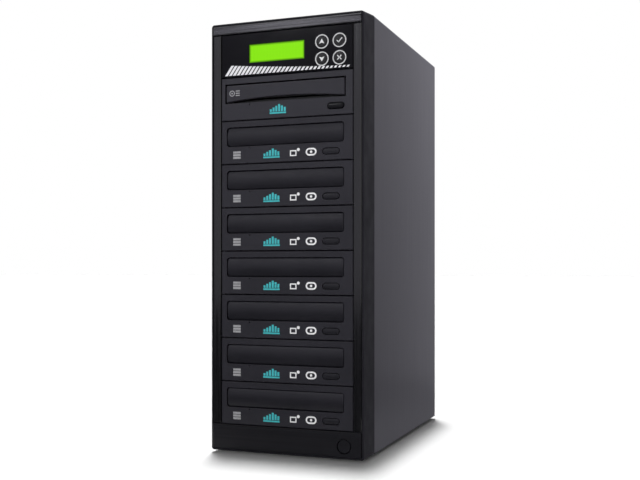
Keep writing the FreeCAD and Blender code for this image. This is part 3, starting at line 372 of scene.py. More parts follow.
def cell_pattern(tree, left, right, bottom, top):
    """Rows of faint cells, turned from the plane of the pattern into the XZ plane of the display."""
    cells = tree.nodes.new("ShaderNodeTexBrick")
    cells.offset = 0.0
    for socket, colour in CELL_COLOURS.items():
        cells.inputs[socket].default_value = colour
    cells.inputs["Scale"].default_value = 1.0
    cells.inputs["Mortar Size"].default_value = CELL_GAP
    cells.inputs["Mortar Smooth"].default_value = CELL_SOFTNESS
    cells.inputs["Brick Width"].default_value = (right - left) / CELLS_ACROSS
    cells.inputs["Row Height"].default_value = (top - bottom) / CELL_ROWS
    place = pattern_place(tree, turn=(np.pi / 2, 0.0, 0.0), shift=(-left, top, 0.0))
    tree.links.new(place, cells.inputs["Vector"])
    return cells.outputs["Color"]


def edge_distance(tree, place, low, high):
    """The lesser of the distances from a place to the low end and to the high end of a span."""
    from_low = reckon(tree, "SUBTRACT", place, low)
    from_high = reckon(tree, "SUBTRACT", high, place)
    return reckon(tree, "MINIMUM", from_low, from_high)


def display_glow(name):
    """Faint cells on a glowing ground, with painted shade that dims it towards the nearest edge."""
    finish, tree, shader = new_finish(name)
    low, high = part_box("lcd_module")
    left, right = low.x + DISPLAY_FRAME, high.x - DISPLAY_FRAME
    bottom, top = low.z + DISPLAY_FRAME, high.z - DISPLAY_FRAME
    cells = cell_pattern(tree, left, right, bottom, top)
    tree.links.new(cells, shader.inputs["Emission Color"])
    parts = tree.nodes.new("ShaderNodeSeparateXYZ")
    tree.links.new(pattern_place(tree), parts.inputs["Vector"])
    near_side = edge_distance(tree, parts.outputs["X"], left, right)
    near_end = edge_distance(tree, parts.outputs["Z"], bottom, top)
    nearest = reckon(tree, "MINIMUM", near_side, near_end)
    # Painted shade: the glow dims towards the nearest edge of the window.
    glow = spread(tree, nearest, 0.0, RIM_SHADE_WIDTH, RIM_SHADE_GLOW, 1.0, "SMOOTHSTEP")
    tree.links.new(glow, shader.inputs["Emission Strength"])
    shader.inputs["Base Color"].default_value = (0.01, 0.03, 0.002, 1.0)
    shader.inputs["Roughness"].default_value = 0.12
    shader.inputs["Specular IOR Level"].default_value = 0.06
    return finish


display_green = display_glow("display_green")
print("display cells across", CELLS_ACROSS)

# %% [markdown]
# ## The circuit boards
# The boards have green solder mask over copper tracks, which lie under it as faint ridges. They are seen
# only through gaps, so no track is drawn: a stretched noise with a hard step suggests them.

# %% Boards
TRACKS_PER_METRE = 420.0
TRACK_STRETCH = (0.12, 1.0, 1.0)
TRACK_RISE = 0.02 * MM


def board_mask(name, dark, light):
    """Solder mask, lighter where a track runs under it."""
    finish, tree, shader = new_finish(name)
    tracks = mottle(tree, TRACKS_PER_METRE, detail=1.0, stretch=TRACK_STRETCH)
    paint(tree, shader, tracks, dark, light, low=0.50, high=0.54)
    shader.inputs["Roughness"].default_value = 0.35
    relief(tree, shader, tracks, TRACK_RISE)
    return finish


board_green = board_mask("board_green", (0.010, 0.075, 0.028), (0.020, 0.120, 0.045))
print("finishes", len(bpy.data.materials))

# %% [markdown]
# ## Every solid gets its finish
# The CAD nodes keep their shapes. Each could get its finish by hand in the material tab, but one list shows
# at a glance what every piece of the tower is made of.

# %% Finishes on the CAD nodes
DRIVES = range(1, 9)
READER = 1
KEYS = ("up", "down", "enter", "escape")
node_finish = {
    "front_bezel": bezel_satin, "top_trim": top_strip_brushed, "bottom_trim": bottom_strip_brushed,
    "side_pillars": pillar_gloss, "control_panel": panel_gloss, "lcd_module": display_green,
    "display_board": board_green, "control_board": board_green, "controller_tray": zinc_coat,
    "drive_cases": zinc_coat, "loader_decks": deck_moulding, "drive_cage": zinc_coat,
    "chassis_tub": cover_coat, "case_cover": cover_coat, "feet": foot_rubber, "psu_case": psu_sheet,
    "power_inlet": inlet_plastic, "power_rocker": rocker_plastic, "psu_fan": fan_plastic,
    "exhaust_fan_frame": fan_plastic, "exhaust_fan_rotor": fan_plastic, "drive_leads": lead_sheath,
    "power_button": key_gloss,
}
for drive in DRIVES:
    node_finish[f"drive_bezel_{drive}"] = reader_satin if drive == READER else drive_satin
    node_finish[f"tray_door_{drive}"] = reader_satin if drive == READER else door_satin
    node_finish[f"disc_tray_{drive}"] = tray_satin
    node_finish[f"eject_button_{drive}"] = eject_gloss
for key in KEYS:
    node_finish[f"key_{key}"] = key_gloss
for node, finish in node_finish.items():
    node_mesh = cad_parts[node].data
    node_mesh.materials.clear()
    node_mesh.materials.append(finish)
print("dressed", len(node_finish), "of", len(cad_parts), "nodes")

# %% [markdown]
# ## Caps: eject buttons, keys and the power key
# On the real tower these are small mouldings with a soft rim. A bevelled cylinder would do for the round
# ones, but all are the same idea: a section carried round a pill outline, which is a circle when its
# straight part is zero. The section starts at the middle of the face, rounds over the rim, runs back along
# the side, steps out to the flange that keeps the cap in its hole, and closes at the back.

# %% A section carried round a pill
def pill_round(radii, depths, straight, centre, around):
    """x = centre + straight * side + radius * cos(turn), y = depth, z = centre + radius * sin(turn).

    Side is +1 on the right half of the turn and -1 on the left half, so a straight of zero gives circles.
    """
    right = np.linspace(-np.pi / 2, np.pi / 2, around // 2)
    turn = np.concatenate([right, right + np.pi])
    side = np.repeat([1.0, -1.0], around // 2)
    x = centre[0] + straight * side + np.outer(radii, np.cos(turn))
    z = centre[1] + np.outer(radii, np.sin(turn))
    y = np.broadcast_to(np.asarray(depths)[:, None], x.shape)
    return np.stack([x, y, z], axis=-1)


def middle(node):
    """The middle of a node's box, across and up."""
    low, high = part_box(node)
    return ((low.x + high.x) / 2, (low.z + high.z) / 2)


# %% Skin of a cap
FLANGE_DEPTH = 1.0 * MM
FACE_STEPS = 9
BEND_STEPS = 8


def cap_skin(node, radius, straight, crown, rim, flange, around):
    """Depth = front + crown * (r / radius)^2 over the face, then a quarter circle, then straight back.

    The section goes from the front to the back of the node's box; a dished face starts deeper by its dish.
    """
    low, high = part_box(node)
    face = np.linspace(0.0, radius - rim, FACE_STEPS)
    bend = np.linspace(0.0, np.pi / 2, BEND_STEPS)[1:]
    face_depth = low.y + max(-crown, 0.0) + crown * (face / radius) ** 2
    bend_radius = radius - rim + rim * np.sin(bend)
    bend_depth = face_depth[-1] + rim * (1 - np.cos(bend))
    step = high.y - FLANGE_DEPTH
    radii = np.concatenate([face, bend_radius, [radius, radius + flange, radius + flange, 0.0]])
    depths = np.concatenate([face_depth, bend_depth, [step, step, high.y, high.y]])
    return [(pill_round(radii, depths, straight, middle(node), around), True)]


# %% Eject buttons
EJECT_WIDTH = 17.7 * MM
EJECT_HEIGHT = 5.9 * MM
eject_straight = (EJECT_WIDTH - EJECT_HEIGHT) / 2
eject_section = {"crown": 0.35 * MM, "rim": 0.7 * MM, "flange": 1.0 * MM}
for drive in DRIVES:
    node = f"eject_button_{drive}"
    skin = cap_skin(node, EJECT_HEIGHT / 2, eject_straight, **eject_section, around=48)
    cap_finish = reader_gloss if drive == READER else eject_gloss
    make_piece(f"eject_cap_{drive}", skin, cap_finish, f"eject_{drive}", node)
print("eject caps", EJECT_WIDTH / MM, "by", EJECT_HEIGHT / MM, "mm")

# %% Keys on the panel
KEY_RADIUS = 5.9 * MM
key_section = {"crown": 0.10 * MM, "rim": 0.5 * MM, "flange": 1.2 * MM}
key_middle = {}
for key in KEYS:
    node = f"key_{key}"
    key_middle[key] = middle(node)
    skin = cap_skin(node, KEY_RADIUS, 0.0, **key_section, around=64)
    make_piece(f"key_cap_{key}", skin, key_gloss, f"{key}_key", node)
key_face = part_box("key_up")[0].y
print("key face at", key_face)

# %% Power key
POWER_RADIUS = 6.8 * MM
power_section = {"crown": -0.5 * MM, "rim": 0.6 * MM, "flange": 1.2 * MM}
node = "power_button"
skin = cap_skin(node, POWER_RADIUS, 0.0, **power_section, around=72)
make_piece("power_cap", skin, bottom_strip_brushed, "power_key", node)
print("power key at", middle(node))

# %% [markdown]
# ## Thin raised shapes
# Prints are real layers of ink, and small mouldings are thin plates, so each is a sheet with a rim and a
# back. Rings are a small section carried round a circle. A stroke is a ribbon: a path moved half a width to
# either side along its normal. A flat picture would be quicker, but it would leave nothing in the mesh.

# %% Sheets, strokes, rings and discs
INK = 0.06 * MM


def closed_sheet(x, front, z, back):
    """Points x, z at the depth front, the same at the depth back, and the rim that joins their edges."""
    sheets = [np.stack(np.broadcast_arrays(x, depth, z), axis=-1) for depth in (front, back)]
    edges = [np.concatenate([sheet[0, :-1], sheet[:-1, -1], sheet[-1, :0:-1], sheet[:0:-1, 0]])
             for sheet in sheets]
    return [(sheets[0], False), (sheets[1], False), (np.stack(edges), True)]


def printed(x, z, back):
    """A closed sheet that stands out from the depth back by the thickness of the ink."""
    return closed_sheet(x, back - INK, z, back)


def stroke(path, width, back):
    """Points of the path plus and minus half the width along the normal of the path."""
    path = np.asarray(path, dtype=float)
    along = np.gradient(path, axis=0)
    along /= np.linalg.norm(along, axis=1)[:, None]
    normal = np.stack([-along[:, 1], along[:, 0]], axis=1) * width / 2
    sides = np.stack([path + normal, path - normal])
    return printed(sides[..., 0], sides[..., 1], back)


def flat_ring(centre, inner, outer, back, rise=INK, straight=0.0, around=40):
    """A rectangle from inner to outer radius, carried round a pill and closed on itself."""
    radii = [inner, inner, outer, outer, inner]
    depths = [back, back - rise, back - rise, back, back]
    return [(pill_round(radii, depths, straight, centre, around), True)]


def flat_disc(centre, radius, back):
    """Half a rectangle, from the middle to the radius and back, carried round a circle."""
    radii = [0.0, radius, radius, 0.0]
    depths = [back - INK, back - INK, back, back]
    return [(pill_round(radii, depths, 0.0, centre, around=40), True)]


def flat_quad(corners, back):
    """Four corners in order round the shape, as a grid of two by two."""
    a, b, c, d = np.asarray(corners, dtype=float)
    grid = np.array([[a, b], [d, c]])
    return printed(grid[..., 0], grid[..., 1], back)


# %% [markdown]
# ## Tray doors
# A tray door is a shallow moulding with its edges and corners rounded over, and a dark gap all round. A box
# with a bevel would lack the crown. So it is a depth over a plane: the crown grows with the square of the
# height, and close to an edge the depth follows a quarter circle. The door of the top drive is flat, and
# its lower edge arches up for a fingertip.

# %% Skin of a tray door
DOOR_COLUMNS = 81
DOOR_ROWS = 41


def dense_ends(count):
    """Numbers from -1 to 1 that crowd towards both ends: the sine of even steps of a half turn."""
    return np.sin(np.linspace(-np.pi / 2, np.pi / 2, count))


def door_skin(low, high, corner, ease, rim, crown, arch):
    """Depth = crown * v^2 + rim - sqrt(rim^2 - a^2 - b^2), with u across and v up, both from -1 to 1.

    Here a and b are the reach into the rim, across and up. Near the ends the height shrinks along a quarter
    circle, which rounds the corners. The arch lifts the lower half by arch * (1 - u^2) * -v.
    """
    half_wide = (high.x - low.x) / 2 - ease
    half_high = (high.z - low.z) / 2 - ease
    u = dense_ends(DOOR_COLUMNS)[:, None]
    v = dense_ends(DOOR_ROWS)[None, :]
    end_reach = np.clip(corner - half_wide * (1 - np.abs(u)), 0.0, corner)
    tall = half_high - corner + np.sqrt(corner ** 2 - end_reach ** 2)
    across = np.clip(rim - half_wide * (1 - np.abs(u)), 0.0, rim)
    up = np.clip(rim - tall * (1 - np.abs(v)), 0.0, rim)
    sink = rim - np.sqrt(np.clip(rim ** 2 - across ** 2 - up ** 2, 0.0, None))
    x = (low.x + high.x) / 2 + half_wide * u
    z = (low.z + high.z) / 2 + tall * v + arch * (1 - u ** 2) * np.clip(-v, 0.0, None)
    return closed_sheet(np.broadcast_to(x, z.shape), low.y + crown * v ** 2 + sink, z, high.y)


# %% Door skins
WRITER_CORNER = 2.5 * MM
reader_door = {"corner": 1.0 * MM, "ease": 0.75 * MM, "rim": 0.9 * MM, "crown": 0.0, "arch": 4.0 * MM}
writer_door = {"corner": WRITER_CORNER, "ease": 0.05 * MM, "rim": 0.8 * MM, "crown": 1.4 * MM, "arch": 0.0}
for drive in DRIVES:
    door = f"tray_door_{drive}"
    low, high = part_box(door)
    skin = door_skin(low, high, **(reader_door if drive == READER else writer_door))
    make_piece(f"door_skin_{drive}", skin, node_finish[door], f"tray_{drive}", door)
print("door", (high.x - low.x) / MM, "by", (high.z - low.z) / MM, "mm")

# %% [markdown]
# ## Round corners of the door openings
# The openings below the top drive are moulded with round corners, like their doors. The solids have square
# ones and are left as they are. So a small web fills each corner: the flat shape between a square corner and
# a quarter circle.

# %% Webs in the corners
DOOR_GAP = 0.5 * MM
WEB_STEPS = 9


def corner_web(low, high, side, rise, face, back):
    """One row is the corner point, again and again, and the other row goes round the quarter circle."""
    reach = WRITER_CORNER + DOOR_GAP
    turn = np.linspace(0.0, np.pi / 2, WEB_STEPS)
    same = np.ones(WEB_STEPS)
    corner_x = (high.x if side > 0 else low.x) + side * DOOR_GAP
    corner_z = (high.z if rise > 0 else low.z) + rise * DOOR_GAP
    x = corner_x - side * reach * (1 - np.stack([same, np.cos(turn)]))
    z = corner_z - rise * reach * (1 - np.stack([same, np.sin(turn)]))
    return closed_sheet(x, face, z, back)


webs = []
for drive in DRIVES:
    if drive == READER:
        continue
    low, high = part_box(f"tray_door_{drive}")
    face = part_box(f"drive_bezel_{drive}")[0].y
    for side, rise in ((-1, -1), (-1, 1), (1, -1), (1, 1)):
        webs += corner_web(low, high, side, rise, face, high.y)
make_piece("door_corner_webs", webs, drive_satin, "chassis")
print("corner radius of the openings", (WRITER_CORNER + DOOR_GAP) / MM, "mm")

# %% [markdown]
# ## Ledges and tabs of the disc trays
# A disc tray takes discs of two sizes: a low round ledge centres the small ones, and four tabs reach over
# the edge of a large one. Both could be cut from rings, but they are only strips between two arcs, so one
# formula with other limits makes them. The ledge stops at the slot for the laser.

# %% Tray ledges and tabs
WELL_DEPTH = 4.4 * MM
HUB_BACK = 66.0 * MM
LEDGE_RADII = (40.0 * MM, 41.4 * MM)
LEDGE_TURN = (-238.0, 58.0)
LEDGE_RISE = 0.7 * MM
TAB_RADII = (58.8 * MM, 61.6 * MM)
TAB_MIDDLES = (40.0, 140.0, 220.0, 320.0)
TAB_REACH = 4.0
TAB_SHEET = 1.0 * MM
SUNK = 0.1 * MM
STEP_DEGREES = 3.0


def arc_strip(hub, radii, degrees, low, high):
    """x = hub + radius * cos(turn), y = hub + radius * sin(turn), between two levels.

    A closed sheet has its thickness along Y, so Y and Z change places at the end.
    """
    steps = 2 + int((degrees[1] - degrees[0]) / STEP_DEGREES)
    turn = np.radians(np.linspace(*degrees, steps))[None, :]
    radius = np.array(radii)[:, None]
    grids = closed_sheet(hub[0] + radius * np.cos(turn), high, hub[1] + radius * np.sin(turn), low)
    return [(grid[..., [0, 2, 1]], closed_round) for grid, closed_round in grids]


for drive in DRIVES:
    low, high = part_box(f"disc_tray_{drive}")
    hub = ((low.x + high.x) / 2, low.y + HUB_BACK)
    well_floor = high.z - WELL_DEPTH
    details = arc_strip(hub, LEDGE_RADII, LEDGE_TURN, well_floor - SUNK, well_floor + LEDGE_RISE)
    tab_top = high.z - 2 * SUNK
    for turn in TAB_MIDDLES:
        tab_turn = (turn - TAB_REACH, turn + TAB_REACH)
        details += arc_strip(hub, TAB_RADII, tab_turn, tab_top - TAB_SHEET, tab_top)
    make_piece(f"tray_details_{drive}", details, tray_satin, f"tray_{drive}")
print("ledge radius", LEDGE_RADII[0] / MM, "mm, tabs", len(TAB_MIDDLES))

# %% [markdown]
# ## Inks
# Marks on such a tower are screen printed: the ink covers well, but never quite evenly. A plain colour would
# look like a sticker, so a fine noise varies the shade and the gloss a little.

# %% Finishes of the prints
INK_PER_METRE = 900.0
INK_ROUGH_SPAN = 0.1


def ink(name, dark, light, rough, metallic=0.0):
    """Ink drawn by a screen: faintly uneven in shade and gloss."""
    finish, tree, shader = new_finish(name)
    cover = mottle(tree, INK_PER_METRE, detail=2.0)
    paint(tree, shader, cover, dark, light)
    polish(tree, shader, cover, (rough, rough + INK_ROUGH_SPAN))
    shader.inputs["Metallic"].default_value = metallic
    return finish


ring_grey = ink("ring_grey", (0.46, 0.46, 0.47), (0.56, 0.56, 0.57), 0.35)
legend_white = ink("legend_white", (0.55, 0.55, 0.56), (0.66, 0.66, 0.67), 0.40)
silver_ink = ink("silver_ink", (0.62, 0.62, 0.64), (0.78, 0.78, 0.80), 0.36, 0.1)
mark_grey = ink("mark_grey", (0.23, 0.23, 0.24), (0.30, 0.30, 0.31), 0.40)
mark_teal = ink("mark_teal", (0.020, 0.33, 0.36), (0.035, 0.44, 0.47), 0.40)
mark_white = ink("mark_white", (0.66, 0.66, 0.67), (0.78, 0.78, 0.79), 0.40)
print("finishes", len(bpy.data.materials))

# %% [markdown]
# ## Rings and symbols of the keys
# A pale ring stands round each key on the panel, and the keys carry two arrows, a tick and a cross. The rings
# belong to the panel and the symbols to the keys, so they are separate pieces: pressed keys take their
# symbols along. Strokes and a notched triangle are enough for all four.

# %% Rings round the keys
panel_low, panel_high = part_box("control_panel")
panel_face = panel_low.y
RING_INNER = 6.15 * MM
RING_OUTER = 7.25 * MM
RING_RISE = 0.25 * MM
rings = []
for key in KEYS:
    rings += flat_ring(key_middle[key], RING_INNER, RING_OUTER, panel_face, RING_RISE, around=64)
make_piece("key_rings", rings, ring_grey, "chassis")
print("ring outer diameter", 2 * RING_OUTER / MM, "mm")

# %% Symbols on the keys
SYMBOL = 2.9 * MM
INK_SUNK = 0.02 * MM
STROKE = 1.0 * MM
ARROW_FEET = np.array([-0.75, -0.40, -0.75])
ARROW_TIP = 0.95
TICK = np.array([[-2.7, 0.0], [-0.8, -2.0], [2.9, 2.3]]) * MM
TICK_OVERLAP = 0.3 * MM
CROSS_ARM = 2.2 * MM
print_face = key_face + INK_SUNK


def arrow(centre, way):
    """An arrowhead with a notch: the left corner, notch and right corner joined to one tip."""
    across = np.array([-1.0, 0.0, 1.0]) * SYMBOL
    base = ARROW_FEET * SYMBOL * way
    x = np.stack([centre[0] + across, np.full(3, centre[0])])
    z = np.stack([centre[1] + base, np.full(3, centre[1] + ARROW_TIP * SYMBOL * way)])
    return printed(x, z, print_face)


def line(start, end):
    """A stroke along the straight path from start to end."""
    return stroke(np.linspace(start, end, 3), STROKE, print_face)


tick = TICK + key_middle["enter"]
cross = np.array(key_middle["escape"])
arm_up = np.array([CROSS_ARM, CROSS_ARM])
arm_down = np.array([CROSS_ARM, -CROSS_ARM])
symbols = {
    "up": arrow(key_middle["up"], 1.0),
    "down": arrow(key_middle["down"], -1.0),
    "enter": line(tick[0], tick[1]) + line(tick[1] - TICK_OVERLAP, tick[2]),
    "escape": line(cross - arm_up, cross + arm_up) + line(cross - arm_down, cross + arm_down),
}
for key, grids in symbols.items():
    make_piece(f"key_symbol_{key}", grids, legend_white, f"{key}_key")
print("symbols", list(symbols))

# %% [markdown]
# ## The printed band on the panel
# Under the display a silver print runs the width of the panel: a plain row of slanted bars whose height
# falls from left to right, so that they pass under the keys. A plain array would repeat one height, so a
# loop works out each bar from its share of the way across.

# %% Slanted silver bars
BAR_COUNT = 31
TALLEST_BAR = 10.4 * MM
LOWEST_BAR = 1.8 * MM
WIDEST_BAR = 3.2 * MM
NARROWEST_BAR = 2.3 * MM
BAR_LEAN = 0.7
BAR_FALL = 1.5
bar_foot = panel_low.z + 1.6 * MM
bar_left = panel_low.x + 4.0 * MM
bar_right = panel_high.x - 7.0 * MM
slanted = []
for share in np.linspace(0.0, 1.0, BAR_COUNT):
    foot = bar_left + (bar_right - bar_left) * share
    height = LOWEST_BAR + (TALLEST_BAR - LOWEST_BAR) * (1.0 - share) ** BAR_FALL
    wide = WIDEST_BAR + (NARROWEST_BAR - WIDEST_BAR) * share
    lean = BAR_LEAN * height
    corners = [(foot, bar_foot), (foot + wide, bar_foot),
               (foot + wide + lean, bar_foot + height), (foot + lean, bar_foot + height)]
    slanted += flat_quad(corners, panel_face)
make_piece("panel_bars", slanted, silver_ink, "chassis")
print("bars", BAR_COUNT)

# %% [markdown]
# ## Small marks on the drives
# Drive fronts carry a short row of small prints: a stack of grey bars, a set of teal bars, a white square
# with a dot, and a white pill outline. The top drive has only the teal bars, and a ring with bars on its
# door. An image could be mapped on, but nearly all of it is bars, so each mark is a short list of bars in
# millimetres, and rings and discs do the rest.

# %% Shapes of the marks
BOTH_WAYS = (-1.0, 1.0)
LEVEL_HEIGHTS = (2.6, 4.2, 5.8, 7.4, 5.8, 4.2)
LEVEL_MIDDLE = (len(LEVEL_HEIGHTS) - 1) / 2
LEVEL_PITCH = 3.1
LEVEL_FOOT = 2.3
STACK = [(0.0, up, 4.3, 1.1) for up in (-2.8, 0.0, 2.8)]
LEVELS = [(0.0, -3.7, 9.2, 0.8)]
LEVELS += [(LEVEL_PITCH * (step - LEVEL_MIDDLE), height / 2 - LEVEL_FOOT, 1.1, height / 2)
           for step, height in enumerate(LEVEL_HEIGHTS)]
SQUARE = [(0.0, way * 2.4, 3.6, 0.6) for way in BOTH_WAYS]
SQUARE += [(way * 3.0, 0.0, 0.6, 1.78) for way in BOTH_WAYS]
SQUARE_DOT = (5.6 * MM, 3.4 * MM)
SQUARE_DOT_RADIUS = 1.6 * MM
EYE_RADII = (2.3 * MM, 3.9 * MM)
EYE_STRAIGHT = 2.0 * MM
EYE_DOT_RADIUS = 1.3 * MM
DISC_RADII = (2.2 * MM, 3.1 * MM)
DISC_DOT_RADIUS = 0.9 * MM
DISC_LINES = [(6.5, up, 2.3, 0.55) for up in (-2.3, 0.0, 2.3)]


def bars(x, z, face, sizes):
    """Bars about the point x, z; each is offset across, offset up, half width and half height in mm."""
    grids = []
    for across, up, half_wide, half_high in sizes:
        left, right = x + (across - half_wide) * MM, x + (across + half_wide) * MM
        low, high = z + (up - half_high) * MM, z + (up + half_high) * MM
        grids += flat_quad([(left, low), (right, low), (right, high), (left, high)], face)
    return grids


def square_mark(x, z, face):
    """Four bars round a square, and a dot at its upper right."""
    dot = (x + SQUARE_DOT[0], z + SQUARE_DOT[1])
    return bars(x, z, face, SQUARE) + flat_disc(dot, SQUARE_DOT_RADIUS, face)


def eye_mark(x, z, face):
    """A thick pill outline with a dot in it."""
    outline = flat_ring((x, z), *EYE_RADII, face, straight=EYE_STRAIGHT)
    return outline + flat_disc((x, z), EYE_DOT_RADIUS, face)


def disc_mark(x, z, face):
    """A ring with a dot, and three short bars at its right."""
    ring = flat_ring((x, z), *DISC_RADII, face)
    return ring + flat_disc((x, z), DISC_DOT_RADIUS, face) + bars(x, z, face, DISC_LINES)


# %% Marks on the drive fronts
ROW_HEIGHT = 9.0 * MM
STACK_X = -55.2 * MM
LEVELS_X = -15.9 * MM
READER_LEVELS_X = -8.8 * MM
SQUARE_X = 8.4 * MM
SQUARE_DROP = 0.6 * MM
EYE_X = 28.0 * MM
greys = []
teals = []
whites = []
for drive in DRIVES:
    low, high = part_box(f"drive_bezel_{drive}")
    row = low.z + ROW_HEIGHT
    if drive == READER:
        teals += bars(READER_LEVELS_X, row, low.y, LEVELS)
        continue
    greys += bars(STACK_X, row, low.y, STACK)
    teals += bars(LEVELS_X, row, low.y, LEVELS)
    whites += square_mark(SQUARE_X, row - SQUARE_DROP, low.y)
    whites += eye_mark(EYE_X, row, low.y)
make_piece("drive_marks_grey", greys, mark_grey, "chassis")
make_piece("drive_marks_teal", teals, mark_teal, "chassis")
make_piece("drive_marks_white", whites, mark_white, "chassis")
print("marks on", len(DRIVES), "drives")

# %% Mark on the top door
DOOR_MARK_INSET = 7.4 * MM
DOOR_MARK_LIFT = 0.4 * MM
door_low, door_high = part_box(f"tray_door_{READER}")
mark_height = (door_low.z + door_high.z) / 2 + DOOR_MARK_LIFT
door_mark = disc_mark(door_low.x + DOOR_MARK_INSET, mark_height, door_low.y)
make_piece("door_mark", door_mark, mark_grey, "tray_1")
print("door mark at height", mark_height)

# %% [markdown]
# ## Off and on marks of the mains rocker
# The rocker has a sloping face at either end. A ray finds each slope, and the usual circle and stroke are
# laid on it, so that the marks tilt with the rocker. The angles could be copied from the CAD model, but the
# ray still finds them when that changes. The end with the circle is the one that is pressed in at rest.

# %% Rocker marks
MARK_OFFSET = 4.6 * MM
OFF_RADII = (1.3 * MM, 1.8 * MM)
ON_BAR = (0.0, 0.0, 0.3, 1.9)
FAR_BEHIND = 1.0


def laid_on(grids, place, normal):
    """Point = place + x * across + z * up - y * normal, so that flat shapes lie on a slope at the back."""
    across = np.array([-1.0, 0.0, 0.0])
    up = np.cross([1.0, 0.0, 0.0], normal)
    return [(place + grid[..., :1] * across + grid[..., 2:] * up - grid[..., 1:2] * normal, closed_round)
            for grid, closed_round in grids]


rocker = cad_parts["power_rocker"]
rocker_x, rocker_z = middle("power_rocker")
off_circle = flat_ring((0.0, 0.0), *OFF_RADII, 0.0)
on_stroke = bars(0.0, 0.0, 0.0, [ON_BAR])
rocker_marks = []
for rise, shape in ((MARK_OFFSET, off_circle), (-MARK_OFFSET, on_stroke)):
    _, place, normal, _ = rocker.ray_cast((rocker_x, FAR_BEHIND, rocker_z + rise), (0.0, -1.0, 0.0))
    rocker_marks += laid_on(shape, np.array(place), np.array(normal))
    print("rocker slope", tuple(round(value, 3) for value in normal))
make_piece("rocker_marks", rocker_marks, legend_white, "rocker")

# %% [markdown]
# ## Screws on the back
# Pan head screws hold the cover, the power supply and the fan. A boolean could cut the cross recess out of a
# dome, but it leaves long thin faces round the cut. Here the recess is in the same formula as the dome:
# wherever the point lies in one of two crossed slots, the dome is lowered.

# %% Shape of a screw head
HEAD_RADIUS = 2.8 * MM
HEAD_RISE = 0.95 * MM
RIM_STEP = 0.25
SLOT_HALF = 0.14
SLOT_REACH = 0.62
SLOT_DEPTH = 0.55
SLOT_END = 0.75
HEAD_RINGS = 17
HEAD_SPOKES = 64


def screw_head(x, z, seat, turn):
    """Height = rise * (1 + step - r^4 - recess), at most the rise, and 0 at the rim, where r is 1.

    The recess is a cross of slots, deepest in the middle, that gets shallower in proportion to r.
    """
    ring = np.linspace(1.0, 0.0, HEAD_RINGS)[:, None]
    angle = np.linspace(0.0, 2 * np.pi, HEAD_SPOKES + 1)[None, :-1]
    u = ring * np.cos(angle)
    v = ring * np.sin(angle)
    in_slot = np.minimum(np.abs(u), np.abs(v)) < SLOT_HALF
    recess = np.where(in_slot & (ring < SLOT_REACH), SLOT_DEPTH * (1.0 - ring / SLOT_END), 0.0)
    height = HEAD_RISE * (1.0 - ring ** 4 - recess + RIM_STEP * (ring < 1.0))
    height = np.minimum(height, HEAD_RISE)
    across = HEAD_RADIUS * (u * np.cos(turn) - v * np.sin(turn))
    up = HEAD_RADIUS * (u * np.sin(turn) + v * np.cos(turn))
    top = np.stack([x + across, seat + height, z + up], axis=-1)
    foot = np.stack([x + across[:1], np.full_like(across[:1], seat), z + up[:1]], axis=-1)
    heel = np.broadcast_to(np.array([x, seat, z]), foot.shape)
    return [(np.concatenate([heel, foot, top]), True)]


# %% Screw heads
COVER_EDGE = 6.0 * MM
COVER_SHARES = (0.06, 0.5, 0.94)
PSU_HOLE_X = 59.5 * MM
PSU_HOLE_Z = 28.75 * MM
FAN_HOLE = 35.75 * MM
TURN_BETWEEN = 0.7
cover_low, cover_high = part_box("case_cover")
sheet_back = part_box("chassis_tub")[1].y
fan_x, fan_z = middle("exhaust_fan_frame")
psu_z = middle("psu_case")[1]
seats = []
for side in BOTH_WAYS:
    for share in COVER_SHARES:
        height = cover_low.z + share * (cover_high.z - cover_low.z)
        seats.append((side * (cover_high.x - COVER_EDGE), height, cover_high.y))
    for rise in BOTH_WAYS:
        seats.append((side * PSU_HOLE_X, psu_z + rise * PSU_HOLE_Z, sheet_back))
        seats.append((fan_x + side * FAN_HOLE, fan_z + rise * FAN_HOLE, sheet_back))
screws = []
for number, (x, z, seat) in enumerate(seats):
    screws += screw_head(x, z, seat, TURN_BETWEEN * number)
make_piece("rear_screws", screws, screw_steel, "chassis")
print("screws", len(seats))

# %% [markdown]
# ## Floor
# The tower stands on a pale studio floor. It is matt and nearly white, so that it goes over into the white
# background and still keeps the shadow. A shadow catcher could do that too, but a plain sheet is simpler.

# %% Floor
FLOOR_REACH = 20.0


def pale_floor(name):
    """Matt and nearly white, with nothing to catch the eye."""
    finish, _, shader = new_finish(name)
    shader.inputs["Base Color"].default_value = (0.97, 0.97, 0.97, 1.0)
    shader.inputs["Roughness"].default_value = 0.9
    shader.inputs["Specular IOR Level"].default_value = 0.0
    return finish


def stage_sheet(name, points, finish):
    """A grid of points as an open sheet that isn't part of the object."""
    mesh = bpy.data.meshes.new(name)
    rows, columns = points.shape[:2]
    mesh.from_pydata(points.reshape(-1, 3), [], grid_quads(rows, columns, False))
    mesh.materials.append(finish)
    sheet = bpy.data.objects.new(name, mesh)
    bpy.context.scene.collection.objects.link(sheet)
    return sheet


across = np.array([-FLOOR_REACH, FLOOR_REACH])
floor_grid = np.stack(np.broadcast_arrays(across[:, None], across[None, :], np.zeros((2, 2))), axis=-1)
stage_sheet("floor", floor_grid, pale_floor("pale_floor"))
print("floor reaches", FLOOR_REACH, "m")

# %% [markdown]
# ## Flags for reflections
# Black plastic shows mostly what it mirrors. A photographer hangs cloth where the mirror image would be too
# bright. Two sheets do that here, one before the front and one at the right side. Only reflections see
# them, and their brightness follows a ramp, because a hard edge would show as a line in the gloss.

# %% Cloth with a ramp of brightness
FLAG_TINT = (1.0, 0.98, 1.10, 1.0)


def level_ramp(tree, place, levels):
    """Brightness that follows one coordinate, given as pairs of metres and brightness."""
    low, high = levels[0][0], levels[-1][0]
    stops = [((metres - low) / (high - low), (bright, bright, bright)) for metres, bright in levels]
    return colour_ramp(tree, spread(tree, place, low, high, 0.0, 1.0), stops)


